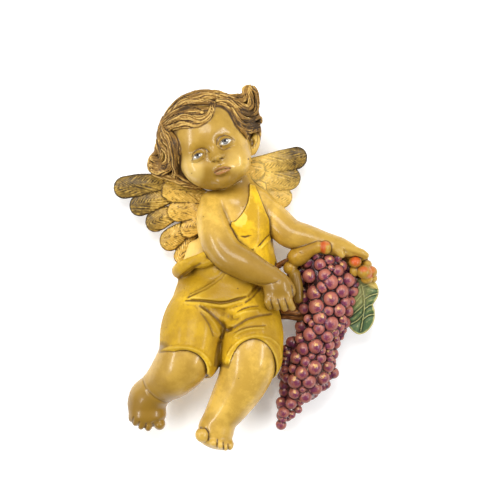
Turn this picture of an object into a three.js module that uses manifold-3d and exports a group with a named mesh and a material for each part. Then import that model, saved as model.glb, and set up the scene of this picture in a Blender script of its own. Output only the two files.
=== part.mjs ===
// Cherub wall plaque: a flying child with two wings, a loose romper and a hanging bunch of grapes.
// It is one hand-painted casting with a flat back, hung on the wall from a socket between its shoulders.
// Millimetres, +Z up, the wall is the plane y = 0 and the figure stands out from it towards -Y.
import * as THREE from "three";
import { mergeVertices } from "three/addons/utils/BufferGeometryUtils.js";
import Module from "manifold-3d";

const wasm = await Module();
wasm.setup();

// Driving sizes
const FIGURE_HEIGHT = 370; // from the lowest toe to the topmost curl
const SOCKET_WIDTH = 16; // hanging socket in the back, for the head of a screw or a hook
const SOCKET_HEIGHT = 11;
const SOCKET_DEPTH = 18;
const SOCKET_RISE = 16; // from the origin up to the middle of the socket

// Sizes on the figure's own grid, which has 370 squares in its height
const FEATHER_THICKNESS = 5;
const FEATHER_STEP = 1.6; // each feather lies this much behind the one above it
const WING_DEPTH = 26; // of the front of the foremost long feather
const LEAF_THICKNESS = 8;
const LEAF_DEPTH = 22; // of the back of the leaf
const FACET_SIZE = 24; // radius of a ball for each step finer that its facets are

// On the grid x runs to the viewer's right, depth out of the wall and z up, all from the point of
// the back just under the socket.
const GRID = FIGURE_HEIGHT / 370;
const at = (x, depth, z) => new THREE.Vector3(x, -depth, z).multiplyScalar(GRID);
const onGrid = (radius) => radius * GRID;

// Solids

function solidFrom(geometry) {
  const bare = geometry.index ? geometry.toNonIndexed() : geometry.clone();
  for (const name of Object.keys(bare.attributes)) {
    if (name !== "position") bare.deleteAttribute(name);
  }
  const merged = mergeVertices(bare, 1e-4);
  return new wasm.Manifold(
    new wasm.Mesh({
      numProp: 3,
      vertProperties: new Float32Array(merged.attributes.position.array),
      triVerts: new Uint32Array(merged.index.array),
    }),
  );
}

const join = (solids) => solids.reduce((whole, next) => whole.add(next));

// An ellipsoid: radii along x, depth and z, turned in the picture plane by `roll` degrees, towards
// the viewer's left. Big ones have more facets, and so has one that is made `finer`.
function ball([x, depth, z], [rx, rDepth, rz], { roll = 0, finer = 0 } = {}) {
  const geometry = new THREE.IcosahedronGeometry(1, Math.round(Math.max(rx, rz) / FACET_SIZE) + finer);
  geometry.scale(onGrid(rx), onGrid(rDepth), onGrid(rz));
  geometry.rotateY(THREE.MathUtils.degToRad(-roll));
  const centre = at(x, depth, z);
  geometry.translate(centre.x, centre.y, centre.z);
  return solidFrom(geometry);
}

// A round-ended limb or lock that swells and thins: stations are [x, depth, z, radius].
function limb(stations, { sides = 6, steps = stations.length - 1, flat = 1 } = {}) {
  const line = new THREE.CatmullRomCurve3(stations.map(([x, depth, z]) => at(x, depth, z)));
  const across = line.computeFrenetFrames(steps);
  const radiusAt = (share) => {
    const place = share * (stations.length - 1);
    const first = Math.min(Math.floor(place), stations.length - 2);
    return onGrid(THREE.MathUtils.lerp(stations[first][3], stations[first + 1][3], place - first));
  };
  const points = [];
  const addRing = (centre, radius, index) => {
    for (let side = 0; side < sides; side += 1) {
      const turn = (2 * Math.PI * side) / sides;
      points.push(
        centre
          .clone()
          .addScaledVector(across.normals[index], radius * Math.cos(turn))
          .addScaledVector(across.binormals[index], radius * flat * Math.sin(turn)),
      );
    }
  };
  const startDirection = across.tangents[0];
  const endDirection = across.tangents[steps];
  const start = line.getPoint(0);
  const end = line.getPoint(1);
  const CAP_BACK = 0.6; // of the radius, where the rounded end's ring stands
  const CAP_RING = 0.75;
  addRing(start.clone().addScaledVector(startDirection, -CAP_BACK * radiusAt(0)), CAP_RING * radiusAt(0), 0);
  for (let step = 0; step <= steps; step += 1) {
    addRing(line.getPoint(step / steps), radiusAt(step / steps), step);
  }
  addRing(end.clone().addScaledVector(endDirection, CAP_BACK * radiusAt(1)), CAP_RING * radiusAt(1), steps);
  const rings = steps + 3;
  const startPole = points.push(start.clone().addScaledVector(startDirection, -radiusAt(0))) - 1;
  const endPole = points.push(end.clone().addScaledVector(endDirection, radiusAt(1))) - 1;
  const faces = [];
  for (let side = 0; side < sides; side += 1) {
    const next = (side + 1) % sides;
    faces.push(startPole, next, side);
    faces.push(endPole, (rings - 1) * sides + side, (rings - 1) * sides + next);
    for (let ring = 0; ring < rings - 1; ring += 1) {
      const near = ring * sides;
      const far = near + sides;
      faces.push(near + side, near + next, far + next);
      faces.push(near + side, far + next, far + side);
    }
  }
  const geometry = new THREE.BufferGeometry().setFromPoints(points);
  geometry.setIndex(faces);
  return solidFrom(geometry);
}

// A flat plate parallel to the wall: outline points [x, z], and the depths of its back and front.
function plate(outline, back, front) {
  const shape = new THREE.Shape(outline.map(([x, z]) => new THREE.Vector2(onGrid(x), onGrid(z))));
  const geometry = new THREE.ExtrudeGeometry(shape, { depth: onGrid(front - back), bevelEnabled: false });
  geometry.rotateX(Math.PI / 2);
  geometry.translate(0, -onGrid(back), 0);
  return solidFrom(geometry);
}

// Trunk and neck

function trunk() {
  return [
    ball([7, 22, 6], [35, 42, 40]),
    ball([-1, 22, -38], [44, 46, 42]),
    limb([[2, 36, 44, 17], [4, 34, 26, 20]], { sides: 10 }),
  ];
}

// Head: a tilted skull, with its features set out from its middle along its own right, up and forward

const HEAD = { x: -21, depth: 50, z: 79, roll: 27.5, yaw: 10 };

function headPoint(right, up, forward) {
  const yaw = THREE.MathUtils.degToRad(HEAD.yaw);
  const roll = THREE.MathUtils.degToRad(HEAD.roll);
  const side = right * Math.cos(yaw) + forward * Math.sin(yaw);
  const out = forward * Math.cos(yaw) - right * Math.sin(yaw);
  return [
    HEAD.x + side * Math.cos(roll) - up * Math.sin(roll),
    HEAD.depth + out,
    HEAD.z + side * Math.sin(roll) + up * Math.cos(roll),
  ];
}

function head() {
  const tilted = { roll: HEAD.roll };
  const finer = { roll: HEAD.roll, finer: 1 };
  const bridge = [[1, 0, 33, 2.5], [2, -11, 37, 3]];
  const upperLip = [[-6, -25, 33, 1.6], [1, -23, 35.5, 2.4], [8, -25, 33, 1.6]];
  const onHead = (stations) => stations.map(([right, up, forward, radius]) => [
    ...headPoint(right, up, forward), radius,
  ]);
  const features = [
    ball(headPoint(0, 9, -5), [40, 41, 39], tilted), // skull
    ball(headPoint(0, -14, 6), [35, 31, 28], finer), // jaw
    ball(headPoint(1, -34, 21), [10, 9, 9], tilted), // chin
    ball(headPoint(2, -13, 37), [4.8, 4.6, 4.4], finer), // nose
    limb(onHead(bridge), { sides: 5 }),
    limb(onHead(upperLip), { sides: 5 }),
    ball(headPoint(1, -27.5, 33), [5.4, 3.5, 3], tilted), // lower lip
    ball(headPoint(36, -6, 0), [4, 7, 9], tilted), // the ear that shows
  ];
  for (const side of [-1, 1]) {
    features.push(ball(headPoint(side * 16, -17, 15), [16, 17, 15], finer)); // cheek
    features.push(ball(headPoint(side * 14.5, -2, 30), [7, 5.5, 4.4], finer)); // eye
    const brow = [[side * 7, 5, 34, 2], [side * 14, 8, 33.5, 2.4], [side * 22, 4, 29, 2]];
    features.push(limb(onHead(brow), { sides: 5 }));
  }
  return features;
}

// Hair: a cap behind the hairline and waved locks laid over it, each a tapering limb

const LOCKS = {
  sweptLeft: [
    [[-9, 44, 128, 7], [-30, 38, 127, 10], [-50, 38, 120, 11], [-65, 40, 106, 11], [-69, 44, 88, 8]],
    [[-12, 66, 124, 6], [-33, 64, 122, 8], [-50, 62, 113, 8], [-63, 60, 99, 8], [-69, 58, 80, 6]],
    [[-18, 82, 117, 5], [-34, 79, 115, 7], [-49, 75, 107, 7], [-60, 70, 95, 7], [-66, 66, 78, 5]],
    [[-20, 90, 112, 4], [-28, 91, 104, 6], [-44, 86, 101, 6], [-57, 78, 95, 6], [-64, 72, 86, 4]],
  ],
  sideCurl: [
    [[-66, 72, 90, 4], [-61, 74, 76, 6], [-56, 70, 62, 6], [-52, 62, 48, 5]],
    [[-69, 62, 88, 6], [-69, 62, 70, 8], [-62, 60, 56, 8], [-70, 56, 50, 6]],
    [[-69, 54, 84, 6], [-73, 54, 66, 10], [-80, 52, 58, 6]],
    [[-79, 46, 56, 6], [-68, 44, 48, 9], [-52, 42, 43, 9], [-34, 40, 42, 6]],
  ],
  sweptRight: [
    [[-20, 84, 118, 5], [-6, 82, 119, 7], [6, 76, 112, 7], [18, 68, 104, 7], [27, 58, 105, 4]],
    [[-19, 88, 114, 4], [-5, 85, 110, 6], [5, 78, 100, 6], [15, 68, 93, 6], [24, 58, 94, 4]],
    [[14, 52, 106, 8], [21, 50, 98, 8], [19, 47, 84, 7.5], [13, 42, 72, 5]],
  ],
  topCurl: [
    [[-14, 50, 122, 8], [4, 50, 120, 9], [15, 50, 122, 8], [18, 50, 130, 7], [15, 50, 137, 4]],
    [[-4, 62, 120, 7], [14, 60, 113, 8], [21, 57, 120, 6], [20, 54, 136, 4]],
  ],
};

function hair() {
  const face = ball(headPoint(3, -8, 32), [33, 40, 38], { roll: HEAD.roll });
  const cap = ball(headPoint(0, 9, -6), [46, 44, 45], { roll: HEAD.roll }).subtract(face);
  const locks = Object.values(LOCKS).flat();
  return [cap, ...locks.map((stations) => limb(stations, { sides: 5 }))];
}

// Arms: the viewer's left arm crosses the belly, the other reaches out over the fruit

const FINGER = { length: 10, radius: 3.6, tipRadius: 3 };

function fingers(knuckles, direction) {
  return knuckles.map((knuckle) => {
    const tip = knuckle.map((value, axis) => value + direction[axis] * FINGER.length);
    return limb([[...knuckle, FINGER.radius], [...tip, FINGER.tipRadius]], { sides: 5, steps: 1 });
  });
}

function arms() {
  const shoulderToWrist = [
    [-18, 46, 25, 13], [-22, 56, 4, 16], [-16, 64, -16, 17.5], [-4, 70, -32, 17],
    [12, 73, -40, 15.5], [28, 74, -47, 13], [42, 74, -53, 11.5],
  ];
  const crossing = limb(shoulderToWrist, { sides: 8, steps: 8 });
  const crossingHand = ball([47, 74, -66], [14, 10, 14]);
  const knuckles = [[37, 78, -72], [44, 79, -74], [51, 79, -74], [58, 77, -72]];
  const crossingFingers = fingers(knuckles, [0.12, -0.35, -0.9]);
  const farShoulderToWrist = [
    [26, 34, 20, 17], [42, 36, 4, 16.5], [58, 40, -10, 15.5],
    [74, 44, -14, 14], [92, 48, -19, 11.5], [105, 50, -23, 10],
  ];
  const reaching = limb(farShoulderToWrist, { sides: 8, steps: 6 });
  const reachingHand = limb([[104, 50, -23, 9.5], [114, 50, -28, 8.5], [124, 50, -29, 6], [132, 48, -31, 4]]);
  const reachingFingers = [
    limb([[96, 56, -26, 5], [93, 62, -33, 4.5], [92, 62, -38, 4]], { sides: 5, steps: 2 }),
    limb([[106, 58, -28, 4.5], [108, 60, -36, 4], [110, 58, -41, 3.5]], { sides: 5, steps: 2 }),
    limb([[122, 50, -28, 4], [130, 48, -34, 4], [134, 44, -39, 3.5]], { sides: 5, steps: 2 }),
  ];
  const crossingThumb = limb([[57, 68, -58, 5.5], [61, 68, -68, 5], [64, 68, -79, 4]], { sides: 5 });
  return [
    crossing, crossingHand, ...crossingFingers, crossingThumb,
    reaching, reachingHand, ...reachingFingers,
  ];
}

// Legs: bare knees, shins and feet below the romper

// Each toe is [x, depth, z, radius], and stands out a little more than it is wide.
function toes(places) {
  return places.map(([x, depth, z, radius]) => ball([x, depth, z], [radius, 1.2 * radius, 1.1 * radius]));
}

function legs() {
  const near = [
    [-46, 50, -110, 25], [-52, 60, -140, 28], [-60, 58, -150, 24],
    [-71, 53, -159, 19.5], [-84, 45, -171, 17],
  ];
  const nearToes = [
    [-74, 44, -198, 6.2], [-81, 48, -203.5, 4.4], [-90, 47, -203, 4.4],
    [-98, 45, -199, 4.6], [-103, 43, -194, 4.2],
  ];
  const far = [
    [20, 50, -106, 26], [17, 58, -132, 27], [10, 57, -155, 26.5],
    [-3, 54, -178, 22], [-16, 52, -196, 16],
  ];
  const farToes = [
    [-29, 64, -208, 7.2], [-16, 65, -217.5, 4.4], [-11, 63, -220, 4.2],
    [-6, 60, -221, 4], [-2.5, 57, -219, 3.6],
  ];
  return [
    limb(near, { sides: 9 }),
    ball([-87, 40, -179], [20, 18, 25], { roll: -8 }), // foot on the viewer's left
    ...toes(nearToes),
    limb(far, { sides: 9 }),
    ball([-18, 52, -208], [18.5, 18, 15.5], { roll: -18 }), // foot on the viewer's right
    ...toes(farToes),
  ];
}

// Romper: one strap over the far shoulder, the other fallen to the waist, and two short legs

function romper() {
  const bodice = ball([11, 26, 0], [32, 43, 40]);
  const seat = ball([-9, 24, -80], [54, 47, 32]);
  const strap = limb([[21, 44, 38, 7], [25, 54, 24, 8], [24, 60, 8, 12]], { flat: 0.6 });
  const nearLeg = limb([[-30, 38, -80, 33], [-40, 52, -104, 33], [-43, 61, -130, 30]], { sides: 10 });
  const farLeg = limb([[10, 40, -84, 34], [19, 54, -106, 34], [20, 61, -130, 32]], { sides: 10 });
  const belowNearHem = ball([-54, 84, -164], [46, 60, 42], { roll: 8 });
  const belowFarHem = ball([21, 84, -152], [44, 60, 42], { roll: -10 });
  const breeches = [nearLeg.subtract(belowNearHem), farLeg.subtract(belowFarHem)];
  const folds = [
    [[-53, 34, -45, 10], [-46, 52, -41, 10], [-34, 62, -34, 8], [-22, 66, -27, 6]], // the fallen bib
    [[-46, 60, -74, 2], [-30, 69, -70, 5], [-8, 72, -72, 5], [14, 68, -68, 4], [28, 62, -58, 2]],
    [[-44, 56, -60, 4], [-26, 68, -52, 6], [-8, 72, -46, 5], [6, 72, -42, 3]],
    [[-26, 66, -84, 2], [-12, 72, -94, 5], [-2, 74, -106, 4]],
    [[-4, 74, -104, 4], [14, 79, -94, 5], [36, 74, -90, 3]],
  ];
  return [bodice, seat, strap, ...breeches, ...folds.map((fold) => limb(fold, { sides: 5 }))];
}

// Wings: long feathers fanned one behind the other, with short ones over their roots

// A feather's outline: narrow at its root, round at its tip. `root` and `tip` are [x, z].
function featherOutline(root, tip, width) {
  const length = Math.hypot(tip[0] - root[0], tip[1] - root[1]);
  const along = [(tip[0] - root[0]) / length, (tip[1] - root[1]) / length];
  const ROUND_END = 0.55; // of the width, the length of the rounded tip
  const TIP_STEPS = 4;
  const outline = [];
  const add = (run, side) => {
    outline.push([
      root[0] + along[0] * run - along[1] * side,
      root[1] + along[1] * run + along[0] * side,
    ]);
  };
  add(0, -0.3 * width);
  for (let step = 0; step <= TIP_STEPS; step += 1) {
    const turn = Math.PI * (step / TIP_STEPS - 0.5);
    add(length - ROUND_END * width * (1 - Math.cos(turn)), (width / 2) * Math.sin(turn));
  }
  add(0, 0.3 * width);
  return outline;
}

// Feathers are [root, tip, width, how far in front of the long ones].
function wing(feathers) {
  return feathers.map(([root, tip, width, lift], index) => {
    const front = WING_DEPTH - index * FEATHER_STEP + lift;
    return plate(featherOutline(root, tip, width), front - FEATHER_THICKNESS, front);
  });
}

function wings() {
  const COVERT = 6; // the short feathers lie this much in front of the long ones
  const left = wing([
    [[-44, 46], [-123, 36], 23, 0],
    [[-46, 32], [-109, 16], 24, 0],
    [[-42, 22], [-91, -3], 22, 0],
    [[-38, 12], [-76, -24], 21, 0],
    [[-34, 0], [-60, -40], 18, 0],
    [[-40, 26], [-74, 40], 24, COVERT],
    [[-30, 24], [-70, 20], 28, COVERT],
    [[-28, 12], [-58, -4], 26, COVERT],
    [[-26, 0], [-46, -26], 22, COVERT],
  ]);
  const right = wing([
    [[16, 66], [76, 74], 22, 0],
    [[20, 48], [70, 50], 25, 0],
    [[24, 34], [62, 27], 24, 0],
    [[14, 56], [42, 66], 26, COVERT],
    [[20, 40], [40, 40], 28, COVERT],
  ]);
  const roots = [
    limb([[-60, 16, 32, 7], [-40, 18, 14, 12], [-22, 20, -4, 14]]),
    limb([[44, 16, 58, 7], [30, 18, 44, 12], [16, 20, 28, 14]]),
  ];
  return [...left, ...right, ...roots];
}

// Grapes: round a core that follows the bunch, in rows whose berries are set half a place apart

const BUNCH = [
  // x, z and half width
  [94, -38, 14], [92, -48, 25], [96, -60, 28.5], [95, -76, 27], [93, -92, 26], [89, -106, 24], [82, -118, 26],
  [77, -132, 28], [75, -146, 29], [72, -159, 26], [66, -171, 19.5], [58, -180, 15], [53, -191, 9],
  [48, -200, 5.5],
];
const bunchDepth = (half) => 18 + half / 2; // of its middle line: it stands out most where it is thickest
const BERRY = { radius: 6.2, rowPitch: 11.4, pitch: 12.6 };

function uneven(seed) {
  const wave = Math.sin(seed * 12.9898) * 43758.5453;
  return wave - Math.floor(wave);
}

function bunchAt(share) {
  const place = share * (BUNCH.length - 1);
  const first = Math.min(Math.floor(place), BUNCH.length - 2);
  return BUNCH[first].map((value, index) => (
    THREE.MathUtils.lerp(value, BUNCH[first + 1][index], place - first)
  ));
}

function grapes() {
  const core = BUNCH.map(([x, z, half]) => [x, bunchDepth(half), z, Math.max(half - 0.8 * BERRY.radius, 2)]);
  const berries = [];
  const fall = BUNCH[0][1] - BUNCH[BUNCH.length - 1][1];
  const rows = Math.round(fall / BERRY.rowPitch);
  for (let row = 0; row <= rows; row += 1) {
    const [x, z, half] = bunchAt(row / rows);
    const middle = bunchDepth(half);
    const reach = Math.max(half - BERRY.radius, 0);
    const places = Math.max(1, Math.round((Math.PI * reach) / BERRY.pitch));
    for (let place = 0; place < places; place += 1) {
      const seed = row * 31 + place * 7;
      const turn = (Math.PI * (place + (row % 2 ? 0.25 : 0.75))) / places + 0.12 * (uneven(seed) - 0.5);
      const radius = BERRY.radius * (0.9 + 0.2 * uneven(seed + 1));
      const centre = [
        x + reach * Math.cos(turn),
        middle + reach * Math.sin(turn),
        z + 1.5 * (uneven(seed + 2) - 0.5),
      ];
      berries.push(ball(centre, [radius, radius, radius], { roll: 90 * uneven(seed + 3) }));
    }
  }
  return [limb(core), ...berries];
}

// Fruit behind the grapes, the vine leaf and the stem

function fruit() {
  return [
    ball([62, 44, -37], [12, 12, 10]), // pear
    ball([78, 46, -25], [13, 11, 8], { roll: 20 }),
    ball([92, 52, -26], [7, 8, 7.5]), // peach
    ball([54, 48, -44], [9, 9, 8]),
    ball([119, 46, -43], [9, 9, 8]),
    ball([126, 40, -54], [10, 9, 9]),
    ball([138, 34, -48], [7.5, 7, 7]),
    ball([139, 32, -60], [7.5, 7, 7]),
    ball([134, 28, -42], [8, 9, 8]),
    limb([[70, 22, -34, 14], [100, 22, -36, 18], [124, 20, -46, 16]]), // bed they are cast on
  ];
}

function leafAndStem() {
  const outline = [
    [114, -56], [124, -53], [134, -56], [145, -60], [149, -71], [148, -80], [141, -85], [142, -94],
    [141, -104],
    [135, -111], [125, -112], [118, -103], [113, -93], [108, -84], [112, -70],
  ];
  return [
    plate(outline, LEAF_DEPTH, LEAF_DEPTH + LEAF_THICKNESS),
    limb([[118, 28, -60, 3], [128, 30, -80, 2.6], [130, 28, -104, 1.6]]), // midrib
    limb([[44, 30, -88, 7], [62, 34, -92, 6], [82, 30, -94, 6]]), // stem
    limb([[40, 26, -42, 4], [56, 30, -34, 3.5]]), // its other end, above the wrist
  ];
}

// The whole casting, cut flat at the wall and with the hanging socket in its back

function cast() {
  const figure = join([
    ...trunk(), ...head(), ...hair(), ...arms(), ...legs(), ...romper(),
    ...wings(), ...grapes(), ...fruit(), ...leafAndStem(),
  ]);
  const beyondWall = new THREE.BoxGeometry(2 * FIGURE_HEIGHT, FIGURE_HEIGHT, 3 * FIGURE_HEIGHT);
  beyondWall.translate(0, FIGURE_HEIGHT / 2, 0);
  const socket = new THREE.BoxGeometry(SOCKET_WIDTH, 2 * SOCKET_DEPTH, SOCKET_HEIGHT);
  socket.translate(0, 0, SOCKET_RISE);
  return figure.subtract(solidFrom(beyondWall)).subtract(solidFrom(socket));
}

function meshFrom(solid, name, material) {
  const made = solid.getMesh();
  const geometry = new THREE.BufferGeometry();
  geometry.setAttribute("position", new THREE.BufferAttribute(made.vertProperties, 3));
  geometry.setIndex(new THREE.BufferAttribute(made.triVerts, 1));
  geometry.computeVertexNormals();
  const mesh = new THREE.Mesh(geometry, material);
  mesh.name = name;
  return mesh;
}

const paintedResin = new THREE.MeshStandardMaterial({ color: 0xc9a24e, roughness: 0.4, metalness: 0 });

const plaque = new THREE.Group();
plaque.add(meshFrom(cast(), "cherub_plaque", paintedResin));

export default plaque;
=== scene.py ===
import math

import bpy
import numpy as np
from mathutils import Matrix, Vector


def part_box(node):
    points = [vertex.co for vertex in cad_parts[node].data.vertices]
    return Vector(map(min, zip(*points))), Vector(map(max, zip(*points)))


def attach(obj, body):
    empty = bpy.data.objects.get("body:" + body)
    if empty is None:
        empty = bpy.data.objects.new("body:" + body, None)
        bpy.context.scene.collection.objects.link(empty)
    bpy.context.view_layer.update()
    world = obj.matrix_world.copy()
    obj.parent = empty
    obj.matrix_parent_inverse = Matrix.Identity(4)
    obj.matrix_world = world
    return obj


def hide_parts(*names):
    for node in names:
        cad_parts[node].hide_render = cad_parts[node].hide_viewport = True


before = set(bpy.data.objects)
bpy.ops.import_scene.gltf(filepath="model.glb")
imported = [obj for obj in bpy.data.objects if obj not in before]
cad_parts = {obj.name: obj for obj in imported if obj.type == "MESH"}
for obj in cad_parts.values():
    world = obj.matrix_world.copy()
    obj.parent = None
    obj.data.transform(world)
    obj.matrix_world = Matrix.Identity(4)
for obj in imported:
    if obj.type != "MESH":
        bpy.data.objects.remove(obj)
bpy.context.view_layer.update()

# Trunk of the child
# The whole plaque is one casting in resin: a winged child with fruit, painted by hand and varnished.
# It is modelled like clay: rounded forms are added and cut, in mm, then skinned as one surface.
# A place is x to the right, depth out of the wall and z up.

FAR = 40.0
STEP = 0.85


class Clay:
    """One painted region of the figure, as distances from its surface on a shared lattice."""

    def __init__(self, low_corner, high_corner):
        self.start = np.floor(np.array(low_corner) / STEP).astype(int)
        self.end = np.ceil(np.array(high_corner) / STEP).astype(int) + 1
        self.d = np.full(self.end - self.start, FAR, dtype=np.float32)

    def window(self, low_corner, high_corner):
        first = np.maximum(np.floor(np.array(low_corner) / STEP).astype(int), self.start)
        last = np.minimum(np.ceil(np.array(high_corner) / STEP).astype(int) + 1, self.end)
        last = np.maximum(last, first)
        axes = [np.arange(a, b, dtype=np.float32) * STEP for a, b in zip(first, last)]
        place = tuple(slice(a - s, b - s) for a, b, s in zip(first, last, self.start))
        return place, (axes[0][:, None, None], axes[1][None, :, None], axes[2][None, None, :])

    def add(self, place, distance, soft=0.0):
        self.d[place] = join(self.d[place], distance, soft)

    def cut(self, place, distance, soft=0.0):
        self.d[place] = -join(-self.d[place], distance, soft)

    def take(self, other, soft=0.0):
        """Adds another lump of clay where the two lattices overlap."""
        first = np.maximum(self.start, other.start)
        last = np.minimum(self.end, other.end)
        mine = tuple(slice(a, b) for a, b in zip(first - self.start, last - self.start))
        theirs = tuple(slice(a, b) for a, b in zip(first - other.start, last - other.start))
        self.add(mine, other.d[theirs], soft)

    def front(self, x, z):
        """Depth of the surface in front at a point of the picture plane."""
        i = int(np.clip(round(x / STEP) - self.start[0], 0, self.d.shape[0] - 1))
        k = int(np.clip(round(z / STEP) - self.start[2], 0, self.d.shape[2] - 1))
        inside = np.nonzero(self.d[i, :, k] < 0)[0]
        if not len(inside):
            return None
        j = inside[-1]
        ahead = self.d[i, min(j + 1, self.d.shape[1] - 1), k]
        share = self.d[i, j, k] / min(self.d[i, j, k] - ahead, -1e-6)
        return (j + share + self.start[1]) * STEP


def join(a, b, soft):
    if soft <= 0:
        return np.minimum(a, b)
    near = np.maximum(soft - np.abs(a - b), 0) / soft
    return np.minimum(a, b) - near * near * soft * 0.25


def turned(x, z, centre, roll):
    turn = math.radians(roll)
    dx, dz = x - centre[0], z - centre[2]
    return dx * math.cos(turn) + dz * math.sin(turn), dz * math.cos(turn) - dx * math.sin(turn)


def ball(clay, centre, radii, roll=0.0, soft=0.0, cut=False):
    """An ellipsoid: centre and radii are x, depth, z, and roll turns it towards the viewer's left."""
    reach = max(radii) + 2 + soft
    place, (x, depth, z) = clay.window(np.array(centre) - reach, np.array(centre) + reach)
    across, up = turned(x, z, centre, roll)
    out = depth - centre[1]
    near = np.sqrt((across / radii[0]) ** 2 + (out / radii[1]) ** 2 + (up / radii[2]) ** 2) + 1e-6
    slope = np.sqrt(
        (across / radii[0] ** 2) ** 2 + (out / radii[1] ** 2) ** 2 + (up / radii[2] ** 2) ** 2
    )
    distance = near * (near - 1) / (slope + 1e-6)
    (clay.cut if cut else clay.add)(place, distance, soft)


def eased(stations, per=4):
    """A smooth line through the stations, with every value of a station eased in the same way."""
    points = np.array(stations, dtype=float)
    padded = np.vstack([2 * points[0] - points[1], points, 2 * points[-1] - points[-2]])
    line = []
    for i in range(len(points) - 1):
        a, b, c, d = padded[i : i + 4]
        for t in np.linspace(0, 1, per, endpoint=False):
            bend, twist = 2 * a - 5 * b + 4 * c - d, 3 * b - a - 3 * c + d
            line.append(0.5 * (2 * b + (c - a) * t + bend * t * t + twist * t**3))
    line.append(points[-1])
    return np.array(line)


def limb(clay, stations, soft=0.0, cut=False, per=4):
    """A round limb that swells and thins. A station is x, depth, z, radius."""
    line = eased(stations, per)
    reach = line[:, 3].max() + 2 + soft
    place, (x, depth, z) = clay.window(line[:, :3].min(0) - reach, line[:, :3].max(0) + reach)
    distance = np.full(np.broadcast_shapes(x.shape, depth.shape, z.shape), FAR, dtype=np.float32)
    for a, b in zip(line[:-1], line[1:]):
        run = b[:3] - a[:3]
        share = ((x - a[0]) * run[0] + (depth - a[1]) * run[1] + (z - a[2]) * run[2]) / (run @ run)
        share = np.clip(share, 0, 1)
        off = np.sqrt(
            (x - a[0] - share * run[0]) ** 2
            + (depth - a[1] - share * run[1]) ** 2
            + (z - a[2] - share * run[2]) ** 2
        )
        np.minimum(distance, off - (a[3] + share * (b[3] - a[3])), out=distance)
    (clay.cut if cut else clay.add)(place, distance, soft)


trunk = Clay((-70, -2, -125), (64, 84, 66))
ball(trunk, (7, 22, 6), (35, 42, 40))
ball(trunk, (-1, 22, -38), (44, 46, 42), soft=8)
ball(trunk, (-9, 24, -80), (49, 44, 38), soft=8)
limb(trunk, [(2, 38, 44, 16), (4, 34, 24, 20)], soft=10)
limb(trunk, [(-24, 46, 26, 8), (4, 51, 22, 10), (26, 40, 26, 10)], soft=8)
limb(trunk, [(-40, 30, -22, 6), (-42, 32, -42, 10), (-42, 34, -62, 12)], soft=6)
skin = Clay((-112, -2, -232), (140, 100, 132))
skin.take(trunk)

# Arm across the belly, and its fist
# Bare skin, cast in one with the trunk. The fist is closed round the cane that carries the fruit.
# The fingers are separate rolls of clay, with the slits between them cut in afterwards.

limb(
    skin,
    [
        (-19, 46, 20, 14.5), (-21, 54, 6, 15.5), (-15.5, 63, -14, 17), (-5, 69, -29, 16.5),
        (12, 73, -39, 15.5), (27, 74, -47, 12.8), (38, 74, -52, 11.2),
    ],
    soft=2.5,
    per=8,
)
hand = Clay((20, 50, -95), (75, 100, -40))
ball(hand, (46, 74, -64.5), (16, 10, 12), roll=-6)
limb(hand, [(38, 74, -52, 11), (46, 75, -59, 11.5)], soft=4)
FINGERS = [
    [(35, 77, -70, 3.6), (34.5, 79, -76, 3.5), (36.5, 75, -81, 3.0)],
    [(40.5, 79, -70, 4.0), (41, 81, -76.5, 3.8), (43.5, 77, -81.5, 3.2)],
    [(47, 79, -70, 4.2), (48.5, 81, -77, 3.9), (51, 77, -82, 3.3)],
    [(53.5, 78, -69, 4.2), (55.5, 80, -76, 3.9), (58.5, 76, -81.5, 3.3)],
]
for finger in FINGERS:
    limb(hand, finger, soft=2.2)


def stroke(clay, points, lift=0.0, soft=1.0, cut=False, per=3):
    """A limb laid along the surface in front. A point is x, z, radius."""
    stations = []
    depth = None
    for x, z, radius in eased(points, per):
        depth = clay.front(x, z) or depth
        if depth is not None:
            stations.append((x, depth + lift, z, radius))
    limb(clay, stations, soft, cut, per=1)


for slit in [
    [(36.5, -71.5, 0.3), (37.5, -76, 0.9), (40, -83, 1.0)],
    [(43.5, -71.5, 0.3), (44.8, -76, 0.9), (47.6, -84, 1.0)],
    [(50.5, -71, 0.3), (52.3, -76, 0.9), (55, -84, 1.0)],
]:
    stroke(hand, slit, lift=0.4, soft=0.7, cut=True)
stroke(hand, [(57.5, -58, 0.5), (59, -68, 1.2), (62, -81, 1.2)], lift=0.4, soft=1.0, cut=True)
skin.take(hand, 1.0)
WRIST = [(22, -57.5, 0.6), (31, -58.8, 1.0), (40, -57, 0.9), (47, -54, 0.4)]
stroke(skin, WRIST, lift=0.5, soft=1.5, cut=True)

# Arm over the fruit, and its hand
# Bare skin, cast in one with the trunk. The hand lies on the fruit, palm down.
# Two fingers and the thumb show, and the rest of the hand runs into the fruit.

limb(
    skin,
    [
        (29, 34, 20, 14), (43, 38, 5, 15), (57, 41, -8, 15), (74, 44, -13, 13.5),
        (92, 47, -18, 11), (104, 49, -21, 9),
    ],
    soft=4,
    per=8,
)
far_hand = Clay((80, 30, -60), (142, 85, -5))
limb(far_hand, [(98, 49, -20, 10), (108, 51, -22, 9), (116, 52, -25, 7)])
FOREFINGER = [(114, 52, -22.5, 5.5), (122, 54, -26, 4.6), (128, 54, -28, 4.2), (132, 52, -30.5, 3.8)]
limb(far_hand, FOREFINGER, soft=2)
limb(far_hand, [(116, 46, -27, 5), (124, 46, -31, 4.4), (132, 42, -33.5, 3.6)], soft=1.5)
limb(far_hand, [(101, 54, -22, 5.5), (105, 59, -25.5, 4.8), (108, 60, -29.5, 3.6)], soft=2)
stroke(far_hand, [(111, -25.5, 1.0), (120, -29.5, 1.4), (132, -33, 1.0)], lift=0.8, soft=2, cut=True)
skin.take(far_hand, 3)

# Legs and feet
# Bare skin, plump and short, cast in one with the breeches that they come out of.
# Both are clear of the wall. The toes are small balls of clay with slits cut between them.

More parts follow.
